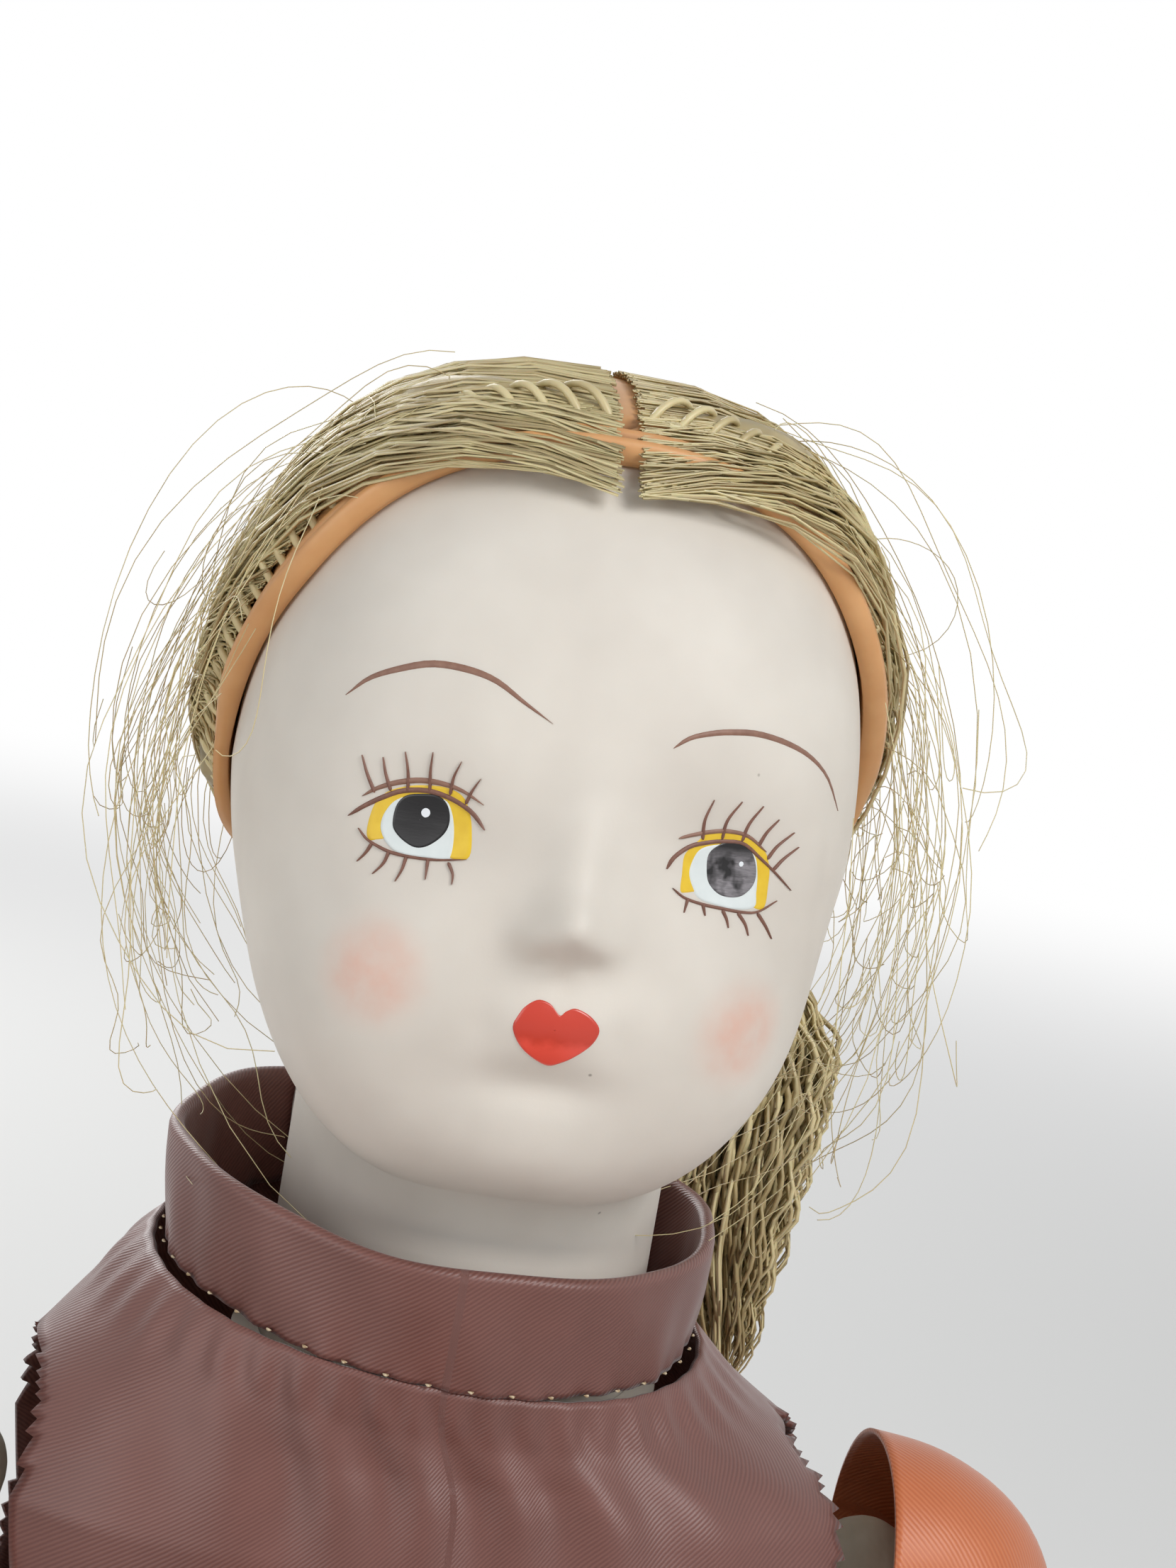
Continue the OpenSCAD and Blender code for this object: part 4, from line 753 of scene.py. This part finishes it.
def satin(name, dark, base, light):
    made, tree = new_material(name)
    cloth = node(tree, "UVMap", uv_map="cloth_mm")
    turned = node(tree, "Mapping", {"Vector": cloth.outputs[0], "Rotation": (0, 0, math.radians(52))})
    # a sine of 20 per unit makes one band per 0.35 mm
    twill = node(tree, "TexWave", {"Vector": turned.outputs[0], "Scale": 2 * math.pi / 0.35 / 20, "Distortion": 0.6,
                                   "Detail": 1.0, "Detail Scale": 2.0})
    slub = node(tree, "TexNoise", {"Vector": cloth.outputs[0], "Scale": 0.12, "Detail": 5.0})
    colour = node(tree, "Mix", {0: slub.outputs[0], 6: linear(dark), 7: linear(base)}, data_type="RGBA")
    thread = node(tree, "Math", {0: twill.outputs[1], 1: 0.3}, operation="MULTIPLY")
    colour = node(tree, "Mix", {0: thread.outputs[0], 6: colour.outputs[2], 7: linear(light)}, data_type="RGBA")
    bump = node(tree, "Bump", {"Height": slub.outputs[0], "Strength": 0.15, "Distance": 0.0006})
    bump = node(tree, "Bump", {"Height": twill.outputs[1], "Strength": 0.35, "Distance": 0.00006,
                               "Normal": bump.outputs[0]})
    surface = node(tree, "BsdfPrincipled", {"Base Color": colour.outputs[2], "Roughness": 0.42,
                                            "Sheen Weight": 0.25, "Sheen Roughness": 0.35,
                                            "Normal": bump.outputs[0]})
    node(tree, "OutputMaterial", {"Surface": surface.outputs[0]})
    return made


brown_satin = satin("brown_satin_twill", "#54302A", "#734740", "#97685B")
orange_satin = satin("orange_satin_twill", "#AC5228", "#C96D3C", "#E59A6B")
suit_y, under_z, collar_top, collar_h = -11.0, 68.0, 114.5, 10.5
hem_front_z, hem_back_z, armhole_r = 34.5, 9.0, 13.2
shoulder = np.array([42.0, suit_y, 82.0])


def collar_set(p, share):
    """The neck seam's own set: tilted forward, leaning and a step to the side."""
    tilt = (p[..., 1] - suit_y) * math.tan(math.radians(8)) - p[..., 0] * math.tan(math.radians(3))
    return p + share[..., None] * np.stack([-2.5 + 0 * tilt, 0 * tilt, tilt], -1)


columns = 240
around = 360 * np.arange(columns) / columns
a = np.radians(around)
skirt_rows = [(0, 0.84, 25.5, 29.5), (0.3, 0.82, 23.5, 29), (0.55, 0.82, 23, 27.8), (0.75, 0.83, 24, 26.2),
              (1, 0.835, 24.5, 25)]
yoke_rows = [(75, 0.94, 24.5, 24.4), (84, 1, 24, 24.2), (89, 0.94, 23.2, 24), (93.5, 0.84, 22.6, 23.6),
             (98.5, 0.7, 22.4, 23.2), (collar_top - collar_h - 0.1, 0.58, 22.8, 22.8)]
heights = [row[0] for row in skirt_rows] + [1 + (row[0] - under_z) / 34 for row in yoke_rows]
rings, uv = [], []
for s in np.linspace(0, heights[-1], 110):
    wide, front, back = (np.interp(s, heights, [row[k] for row in skirt_rows + yoke_rows]) for k in (1, 2, 3))
    lift = ((1 + np.cos(a)) / 2) ** 0.8
    hem_z = hem_back_z + (hem_front_z - hem_back_z) * lift
    z = hem_z + (under_z - hem_z) * s if s < 1 else under_z + (s - 1) * 34 + 0 * a
    side_free = 1 - np.sin(a) ** 4
    fold = side_free * (0.5 * np.sin(7 * a + 0.036 * z) * smooth(z, 103, 80) + 0.9 * np.sin(11 * a) * smooth(z, 55, 25))
    # soft radiating folds from the collar seam, strongest on the chest
    fold = fold + 0.55 * np.exp(-((z - 92) / 7) ** 2) * np.sin(19 * a + 0.11 * z) * side_free
    fold = fold + 0.25 * np.exp(-((z - 101) / 2.2) ** 2) * np.sin(43 * a)
    oval = (abs(np.sin(a) / (43.5 * wide)) ** 2.05
            + abs(np.cos(a) / np.where(np.cos(a) > 0, front, back)) ** 2.05) ** (-1 / 2.05) + fold
    p = np.stack([oval * np.sin(a), suit_y - oval * np.cos(a), z], -1)
    rings.append(collar_set(p, smooth(z, 89, 103)))
    uv.append(np.stack([around / 360 * 215, z], -1))
points = np.array(rings)
faces = grid_faces(len(rings), columns)
flat = points.reshape(-1, 3)
middle = flat[faces].mean(1)
in_armhole = (np.hypot(middle[:, 1] - suit_y, middle[:, 2] - shoulder[2]) < armhole_r) & (abs(middle[:, 0]) > 30)
kept = faces[~in_armhole]
# the armhole's cut edge lies on its circle
rim = np.intersect1d(np.unique(faces[in_armhole]), np.unique(kept))
from_axis = flat[rim, 1:] - np.array([suit_y, shoulder[2]])
flat[rim, 1:] = (np.array([suit_y, shoulder[2]])
                 + from_axis / np.linalg.norm(from_axis, axis=1)[:, None] * armhole_r)


def thicken(piece, mm):
    """Cloth thickness, laid inwards."""
    solid = piece.modifiers.new("thickness", "SOLIDIFY")
    solid.thickness, solid.offset = mm / 1000, -1
    return piece


def clean_up(piece):
    """Applies the modifiers and drops points that no face uses."""
    depsgraph = bpy.context.evaluated_depsgraph_get()
    made = bpy.data.meshes.new_from_object(piece.evaluated_get(depsgraph))
    piece.modifiers.clear()
    piece.data = made
    form = bmesh.new()
    form.from_mesh(made)
    bmesh.ops.delete(form, geom=[v for v in form.verts if not v.link_faces], context="VERTS")
    form.to_mesh(made)
    form.free()
    return piece


tunic = make_piece("satin_tunic", flat, kept, brown_satin, "torso", uv=np.array(uv))
clean_up(thicken(tunic, 0.6))
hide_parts("tunic")

# ---- Stand collar ---------------------------------------------------------------------
# A folded band of the same satin on the neck seam. Its rim is a soft fold that comes to a blunt point at
# each side, and pale running stitches 3.7 mm apart pucker the seam below it.

collar_half_w, collar_t, stitches = 25.0, 1.4, 42
columns = 220
around = 360 * np.arange(columns) / columns
a = np.radians(around)


def collar_line(rise, off):
    taper = 0.9 * (1 - rise)
    x = (collar_half_w - off - taper) * np.sin(a)
    c = np.cos(a)
    y = -(collar_half_w - 1.2 - off - taper) * np.sign(c) * abs(c) ** 1.12
    ripple = 0.22 * np.sin(9 * a + 4 * rise) + 0.14 * np.sin(23 * a) * (1 - rise)
    pucker = 0.16 * np.cos(a * stitches) * math.exp(-(rise / 0.12) ** 2)
    p = np.stack([x * (1 + (ripple + pucker) / 25), suit_y + y * (1 + (ripple + pucker) / 25),
                  collar_top - collar_h * (1 - rise) + 0.25 * np.sin(5 * a) * rise + 0 * x], -1)
    return collar_set(p, 1 + 0 * x)


outside = [(rise, -0.1 * math.sin(math.pi * rise)) for rise in np.linspace(0, 0.94, 20)]
fold_over = [(0.97, 0.1), (0.99, 0.35), (1.0, 0.7), (0.99, 1.05), (0.97, 1.3)]
inside = [(rise, collar_t) for rise in np.linspace(0.94, 0, 12)]
profile = outside + fold_over + inside
rings = np.array([collar_line(rise, off) for rise, off in profile])
rows = np.cumsum([0] + [math.hypot((q[0] - p[0]) * collar_h, q[1] - p[1]) for p, q in zip(profile, profile[1:])])
uv = np.stack(np.meshgrid(around / 360 * 155, rows), -1)
collar = make_piece("satin_stand_collar", rings, grid_faces(len(profile), columns, True, True), brown_satin, "torso",
                    uv=uv)
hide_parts("stand_collar")

thread, tree = new_material("waxed_cotton_thread")
place = node(tree, "TexCoord").outputs["Object"]
lay = node(tree, "TexWave", {"Vector": place, "Scale": 900.0, "Distortion": 2.0}, bands_direction="DIAGONAL")
colour = node(tree, "Mix", {0: lay.outputs[1], 6: linear("#A98F6C"), 7: linear("#D9C8A8")}, data_type="RGBA")
bump = node(tree, "Bump", {"Height": lay.outputs[1], "Strength": 0.5, "Distance": 0.0001})
surface = node(tree, "BsdfPrincipled", {"Base Color": colour.outputs[2], "Roughness": 0.7, "Normal": bump.outputs[0]})
node(tree, "OutputMaterial", {"Surface": surface.outputs[0]})
stitch_points, stitch_faces = [], []
stitch_r, stitch_steps, stitch_sides = 0.14, 6, 6
for k in range(stitches):
    mid = 2 * math.pi * (k + 0.5) / stitches
    bend = np.linspace(-0.011, 0.011, stitch_steps)
    sa = mid + bend
    reach = 24.35 + 0.16 * np.sin(np.pi * np.linspace(0, 1, stitch_steps))
    line = np.stack([reach * np.sin(sa), suit_y - (reach - 1.2) * np.sign(np.cos(sa)) * abs(np.cos(sa)) ** 1.12,
                     collar_top - collar_h + 0.35 + 0 * sa], -1)
    line = collar_set(line, 1 + 0 * sa)
    out = np.stack([np.sin(sa), -np.cos(sa), 0 * sa], -1)
    b = 2 * np.pi * np.arange(stitch_sides) / stitch_sides
    r = stitch_r * np.sin(np.pi * np.linspace(0.08, 0.92, stitch_steps))[:, None, None]
    ring = line[:, None] + r * (np.cos(b)[None, :, None] * out[:, None]
                                + np.sin(b)[None, :, None] * np.array([0, 0, 1.0]))
    stitch_faces.append(grid_faces(stitch_steps, stitch_sides) + k * stitch_steps * stitch_sides)
    stitch_points.append(ring.reshape(-1, 3))
make_piece("collar_stitches", np.concatenate(stitch_points), np.concatenate(stitch_faces), thread, "torso")

# ---- Tape, press studs and neck hardware ----------------------------------------------
# A bit of white woven tape inside the collar, lacquered press studs down the back, and the bright steel
# bar, hook, spring, washers and wing nut that hold the head in its socket.

tape, tree = new_material("white_woven_tape")
place = node(tree, "TexCoord").outputs["Object"]
loops = node(tree, "TexVoronoi", {"Vector": place, "Scale": 2200.0})
colour = node(tree, "Mix", {0: loops.outputs["Distance"], 6: linear("#F0ECE2"), 7: linear("#C8C0B2")},
              data_type="RGBA")
bump = node(tree, "Bump", {"Height": loops.outputs["Distance"], "Strength": 0.6, "Distance": 0.0002})
surface = node(tree, "BsdfPrincipled", {"Base Color": colour.outputs[2], "Roughness": 0.85, "Sheen Weight": 0.2,
                                        "Normal": bump.outputs[0]})
node(tree, "OutputMaterial", {"Surface": surface.outputs[0]})
low, high = (np.array(v) * 1000 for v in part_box("collar_tab"))
u, v = np.meshgrid(np.linspace(-1, 1, 15), np.linspace(0, 1, 13))
centre = (low + high) / 2
tilt, tape_half_w = math.radians(25), 4.4
bow = 0.35 * np.cos(u * 1.4) + 0.12 * np.sin(9 * v + 4 * u)
tape_points = np.stack([centre[0] + tape_half_w * u * math.cos(tilt) - bow * math.sin(tilt) * 0.8,
                        centre[1] + tape_half_w * u * math.sin(tilt) + bow * math.cos(tilt) - 0.3,
                        low[2] + (high[2] - low[2]) * v + 0.25 * np.sin(5 * u)], -1)
tab = make_piece("tape_tab", tape_points, grid_faces(13, 15, around=False), tape, "torso")
clean_up(thicken(tab, 0.6))
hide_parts("collar_tab")


def metal(name, base, dark, roughness):
    made, tree = new_material(name)
    place = node(tree, "TexCoord").outputs["Object"]
    drawn = node(tree, "TexNoise", {"Vector": place, "Scale": 1500.0, "Detail": 3.0})
    colour = node(tree, "Mix", {0: drawn.outputs[0], 6: linear(dark), 7: linear(base)}, data_type="RGBA")
    rough = node(tree, "MapRange", {"Value": drawn.outputs[0], "To Min": roughness - 0.1, "To Max": roughness + 0.1})
    surface = node(tree, "BsdfPrincipled", {"Base Color": colour.outputs[2], "Metallic": 1.0,
                                            "Roughness": rough.outputs[0]})
    node(tree, "OutputMaterial", {"Surface": surface.outputs[0]})
    return made


wire = metal("drawn_steel_wire", "#B4B3B0", "#86857F", 0.34)
studs = metal("lacquered_press_studs", "#5C4A42", "#33241E", 0.45)
for named in ("neck_bar", "neck_hook", "hook_spring", "spring_washer", "wing_nut", "plate_washer", "back_snaps",
              "shoulder_plate"):
    finish = studs if named == "back_snaps" else bisque if named == "shoulder_plate" else wire
    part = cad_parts[named]
    part.data.materials.clear()
    part.data.materials.append(finish)

# ---- Stuffed trunk, upper arms and thighs ---------------------------------------------
# Unbleached calico, sewn into closed forms and filled firmly with fibre. They bend where the stuffing ends;
# the cloth swells a little between its seams and shows fine plain-weave grain and small wrinkles.

calico, tree = new_material("unbleached_calico")
place = node(tree, "TexCoord").outputs["Object"]
warp = node(tree, "TexWave", {"Vector": place, "Scale": 310.0, "Distortion": 1.0}, bands_direction="X")
weft = node(tree, "TexWave", {"Vector": place, "Scale": 310.0, "Distortion": 1.0}, bands_direction="Z")
weave = node(tree, "Math", {0: warp.outputs[1], 1: weft.outputs[1]}, operation="MULTIPLY")
neps = node(tree, "TexNoise", {"Vector": place, "Scale": 500.0, "Detail": 4.0})
colour = node(tree, "Mix", {0: neps.outputs[0], 6: linear("#C6BAA2"), 7: linear("#E2D8C4")}, data_type="RGBA")
bump = node(tree, "Bump", {"Height": weave.outputs[0], "Strength": 0.4, "Distance": 0.0001})
surface = node(tree, "BsdfPrincipled", {"Base Color": colour.outputs[2], "Roughness": 0.85, "Sheen Weight": 0.15,
                                        "Normal": bump.outputs[0]})
node(tree, "OutputMaterial", {"Surface": surface.outputs[0]})


def softened(name, cad_node, voxel_mm, rounds, wrinkle_mm, wrinkle_size_mm, material, body):
    """A smooth, slightly wrinkled form that fills the space of a plain solid."""
    made = bpy.data.objects.new(name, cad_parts[cad_node].data.copy())
    bpy.context.scene.collection.objects.link(made)
    made.data.materials.clear()
    made.data.materials.append(material)
    remesh = made.modifiers.new("remesh", "REMESH")
    remesh.mode, remesh.voxel_size = "VOXEL", voxel_mm / 1000
    even = made.modifiers.new("even", "SMOOTH")
    even.iterations, even.factor = rounds, 0.5
    clean_up(made)
    mesh = made.data
    n = len(mesh.vertices)
    p = np.empty(n * 3)
    mesh.vertices.foreach_get("co", p)
    p = p.reshape(-1, 3)
    out = np.empty(n * 3)
    mesh.vertices.foreach_get("normal", out)
    out = out.reshape(-1, 3)
    q = p * 1000 / wrinkle_size_mm
    wave = (np.sin(2.1 * q[:, 0] + 1.3 * np.sin(1.7 * q[:, 2])) * np.sin(1.9 * q[:, 2] + 1.1 * np.sin(2.3 * q[:, 1]))
            + 0.5 * np.sin(3.7 * q[:, 1] + 2 * q[:, 0]))
    p = p + out * (wrinkle_mm / 1000 * (wave - 0.6))[:, None]
    mesh.vertices.foreach_set("co", p.ravel())
    mesh.polygons.foreach_set("use_smooth", np.ones(len(mesh.polygons), bool))
    mesh.update()
    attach(made, body)
    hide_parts(cad_node)
    return made


softened("stuffed_trunk", "torso", 1.2, 6, 0.25, 9, calico, "torso")
for side_name in ("left", "right"):
    softened("stuffed_arm_" + side_name, "upper_arm_" + side_name, 0.7, 4, 0.12, 5, calico,
                       "arm_" + side_name)
    softened("stuffed_thigh_" + side_name, "thigh_" + side_name, 0.9, 5, 0.15, 8, calico,
                       "thigh_" + side_name)

# ---- Porcelain arms and legs, with their cords ----------------------------------------
# Slip-cast bisque, held without glue: each limb has a groove where the cloth is tied on with waxed cotton cord.
# The shoes are part of the casting, painted dark brown with a soft gloss.

fore_dir = np.array([0, -math.cos(math.radians(30)), -math.sin(math.radians(30))])
leg_splay, arm_groove_r, leg_groove_r, cord_half = math.radians(3), 6.32, 8.92, 0.6
shoe_paint = enamel("dark_brown_shoe_enamel", "#2E1D18", "#4A3028", 0.35, coat=0.2, grain_mm=3.0)
for side_name, side in (("left", 1), ("right", -1)):
    arm = softened("bisque_forearm_" + side_name, "forearm_" + side_name, 0.32, 5, 0.0, 5, bisque,
                   "forearm_" + side_name)
    leg = softened("bisque_leg_" + side_name, "lower_leg_" + side_name, 0.42, 5, 0.0, 5, bisque,
                   "leg_" + side_name)
    leg.data.materials.append(shoe_paint)
    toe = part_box("lower_leg_" + side_name)[0][1]
    for face in leg.data.polygons:
        c = face.center
        face.material_index = 1 if c[1] < toe + 0.0155 or (c[2] < 0.007 and c[1] < toe + 0.02) else 0
    for cord_node, body, twist in (("arm_cord_" + side_name, "forearm_" + side_name, 26),
                                   ("leg_cord_" + side_name, "leg_" + side_name, 34)):
        low, high = (np.array(v) * 1000 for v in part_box(cord_node))
        middle = (low + high) / 2
        if cord_node.startswith("arm"):
            axis = fore_dir.copy()
            radius = arm_groove_r + cord_half
        else:
            axis = np.array([side * math.sin(leg_splay), -math.cos(leg_splay), -0.05])
            radius = leg_groove_r + cord_half
        axis /= np.linalg.norm(axis)
        u = np.cross(axis, [0, 0, 1.0])
        u /= np.linalg.norm(u)
        w = np.cross(axis, u)
        a = 2 * np.pi * np.arange(96) / 96
        b = 2 * np.pi * np.arange(10) / 10
        thick = 0.52 + 0.08 * np.cos(2 * (b[None] - twist * a[:, None]))
        out = np.cos(a)[:, None] * u + np.sin(a)[:, None] * w
        points = (middle + (radius + thick * np.cos(b)[None])[..., None] * out[:, None]
                  + (thick * np.sin(b)[None])[..., None] * axis)
        cord = make_piece("tied_" + cord_node, points, grid_faces(96, 10, True, True), thread, body)
        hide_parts(cord_node)

# ---- Sleeves and cuffs ----------------------------------------------------------------
# Orange satin sleeves, set into the armholes, full over the forearm and gathered into narrow brown cuffs.

arm_lean, upper_arm_length, forearm_length, sleeve_r, band_w = math.radians(15), 41, 38, 12.0, 4.0
arm_dir = np.array([math.sin(arm_lean), 0.09, -math.cos(arm_lean)])
elbow = shoulder + upper_arm_length * arm_dir
sleeve_end = forearm_length - 4.4
stations = [(shoulder + [-0.6, 0, 0], (1, 0, 0), armhole_r - 0.55), (shoulder + [3.4, 0, -0.3], (1, 0, -0.3), sleeve_r),
            (shoulder + [6.2, 0.2, -3.2], (0.75, 0, -0.8), sleeve_r + 0.3),
            (shoulder + [7.2, 0.8, -9.5], (0.25, 0.05, -1), sleeve_r + 0.4),
            (shoulder + [8, 1.8, -21], (0.12, 0.09, -1), sleeve_r + 0.2),
            (elbow + [1.4, 0.5, 5], (0.1, -0.12, -1), sleeve_r), (elbow + [1.2, -2.6, -3.2], (0, -0.65, -0.8), sleeve_r),
            (elbow + [1, 0, 0] + 14 * fore_dir, fore_dir, sleeve_r + 0.4),
            (elbow + [0.6, 0, 0] + 24 * fore_dir, fore_dir, sleeve_r + 0.8),
            (elbow + [0.3, 0, 0] + 30 * fore_dir, fore_dir, sleeve_r - 1.5),
            (elbow + sleeve_end * fore_dir, fore_dir, 6.4)]


def cloth_tube(stations, up, columns, rows, fold, keep=None):
    """Rings of a cloth tube through stations of centre, direction and radius; fold(angle, share) in mm."""
    centres = through([s[0] for s in stations], rows)
    ways = through([np.array(s[1]) / np.linalg.norm(s[1]) for s in stations], rows)
    radii = through([[s[2]] for s in stations], rows)[:, 0]
    a = 2 * np.pi * np.arange(columns) / columns
    rings, uv, length = [], [], 0
    for j in range(rows):
        way = ways[j] / np.linalg.norm(ways[j])
        u = np.cross(way, np.cross(up, way))
        u /= np.linalg.norm(u)
        v = np.cross(u, way)
        r = radii[j] + fold(a, j / (rows - 1))
        ring = centres[j] + r[:, None] * (np.cos(a)[:, None] * u - np.sin(a)[:, None] * v)
        rings.append(ring if keep is None else keep(ring))
        length += np.linalg.norm(centres[j] - centres[j - 1]) if j else 0
        uv.append(np.stack([a * 12, length + 0 * a], -1))
    return np.array(rings), np.array(uv)


def sleeve_fold(a, share):
    loose = smooth(share, 0.12, 0.3) * smooth(share, 1.0, 0.93)
    crease = np.exp(-((share - 0.55) / 0.06) ** 2)
    gathers = 0.35 * np.sin(16 * a) * smooth(share, 0.75, 0.95) * smooth(share, 1.02, 0.97)
    return (0.45 * np.sin(5 * a + 4 * share) + 0.2 * np.sin(9 * a - 6 * share)) * loose - 0.5 * crease * (
        1 + np.cos(3 * a)) * 0.5 + gathers - 0.25


for side_name, side in (("left", 1), ("right", -1)):
    rings, uv = cloth_tube(stations, np.array([0, 1, 0.2]), 72, 90, sleeve_fold)
    rings = rings * [side, 1, 1]
    faces = grid_faces(90, 72)
    if side > 0:
        faces = faces[:, ::-1]
    sleeve = make_piece("satin_sleeve_" + side_name, rings, faces, orange_satin, None, uv=uv)
    clean_up(thicken(sleeve, 0.45))
    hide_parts("sleeve_" + side_name)
    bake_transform(sleeve)


def gathered_band(name, start, way, inner_r, width, body, cad_node):
    """A narrow stitched band round a wrist or ankle."""
    way = np.array(way) / np.linalg.norm(way)
    u = np.cross(way, [0.01, 0.2, 1.0])
    u /= np.linalg.norm(u)
    v = np.cross(way, u)
    a = 2 * np.pi * np.arange(120) / 120
    rows = [(0, 0), (0, 0.9), (0.06, 1.2), (0.2, 1.25), (0.27, 1.1), (0.33, 1.25), (0.5, 1.3), (0.67, 1.25), (0.73, 1.1),
            (0.8, 1.25), (0.94, 1.2), (1, 0.9), (1, 0)]
    rings = [start + way * width * s + (inner_r + h * (1 + 0.05 * np.sin(31 * a)))[:, None]
             * (np.cos(a)[:, None] * u + np.sin(a)[:, None] * v) for s, h in rows]
    uv = [np.stack([a * inner_r, width * s + h + 0 * a], -1) for s, h in rows]
    band = make_piece(name, rings, grid_faces(len(rows), 120, True, True), brown_satin, body, uv=uv)
    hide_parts(cad_node)


for side_name, side in (("left", 1), ("right", -1)):
    flip = np.array([side, 1, 1])
    gathered_band("satin_cuff_" + side_name, (elbow + (sleeve_end + 0.2) * fore_dir) * flip, fore_dir * flip, 5.2,
                  band_w, "forearm_" + side_name, "cuff_" + side_name)

# ---- Trousers -------------------------------------------------------------------------
# A brown satin seat and thighs joined to loose orange legs, gathered at the ankle into brown bands. The
# doll sits on them, so they lie flat underneath.

hip, thigh_length, shank_length, trouser_r = np.array([16.5, -23, 16]), 78, 80, 15.4
leg_dir = np.array([math.sin(leg_splay), -math.cos(leg_splay), 0])
knee = hip + thigh_length * leg_dir
shank_dir = np.array([leg_dir[0], leg_dir[1], (12 - 16) / shank_length])
shank_dir /= np.linalg.norm(shank_dir)
trouser_end = thigh_length + shank_length - 18


def leg_at(s):
    return hip + s * leg_dir if s < thigh_length else knee + (s - thigh_length) * shank_dir


def on_seat(ring):
    """The cloth stays above the seat and on its own side of the middle."""
    return np.stack([np.maximum(ring[:, 0], 0.4), ring[:, 1], np.maximum(ring[:, 2], 0.3)], -1)


def leg_fold(a, share):
    return (0.35 * np.sin(6 * a + 3 * share) + 0.2 * np.sin(11 * a - 9 * share) + 0.25 * np.sin(
        3 * a + 40 * share) * np.sin(math.pi * share)) * smooth(share, 1.0, 0.95) - 0.35


seam_share = 0.6
starts = [thigh_length * t for t in (0.12, 0.25, 0.42, seam_share)]
join = thigh_length * seam_share + 0.5
loose = [join + (trouser_end - join) * t for t in (0, 0.16, 0.34, 0.52, 0.7, 0.86, 0.95, 1)]
radii = [trouser_r, trouser_r, 15.0, 15.0, 14.8, 13.4, 11.5, 8.1]
for side_name, side in (("left", 1), ("right", -1)):
    flip = np.array([side, 1, 1])
    for name, cad_node, places, satin_kind, slot, rows, flat_length in (
            ("satin_thigh_", "trouser_thigh_", [(leg_at(s), leg_dir, trouser_r) for s in starts], brown_satin,
             "brown_satin", 34, 0.042),
            ("satin_leg_", "trouser_leg_", [(leg_at(s), leg_dir if s < thigh_length else shank_dir, r)
                                            for s, r in zip(loose, radii)], orange_satin, "orange_satin",
             90, 0.096)):
        rings, uv = cloth_tube(places, np.array([0, 0, 1.0]), 80, rows, leg_fold, keep=on_seat)
        faces = grid_faces(rows, 80)
        if side > 0:
            faces = faces[:, ::-1]
        leg = make_piece(name + side_name, rings * flip, faces, satin_kind,
                         None if slot == "orange_satin" else "thigh_" + side_name, uv=uv)
        clean_up(thicken(leg, 0.45))
        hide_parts(cad_node + side_name)
        if slot == "orange_satin":
            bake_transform(leg)
    gathered_band("satin_ankle_band_" + side_name, leg_at(trouser_end + 0.3) * flip, shank_dir * flip, 6.9, band_w,
                  "leg_" + side_name, "ankle_band_" + side_name)

seat = softened("satin_trouser_seat", "trouser_seat", 0.45, 4, 0.1, 7, brown_satin, "torso")
layer = seat.data.uv_layers.new(name="cloth_mm")
where = np.empty(len(seat.data.vertices) * 3)
seat.data.vertices.foreach_get("co", where)
where = where.reshape(-1, 3) * 1000
corner = np.empty(len(seat.data.loops), np.int32)
seat.data.loops.foreach_get("vertex_index", corner)
wrap = np.stack([np.arctan2(where[:, 0], -(where[:, 1] + 10)) * 26, where[:, 2] + 0.4 * where[:, 1]], -1)
layer.data.foreach_set("uv", wrap[corner].ravel())
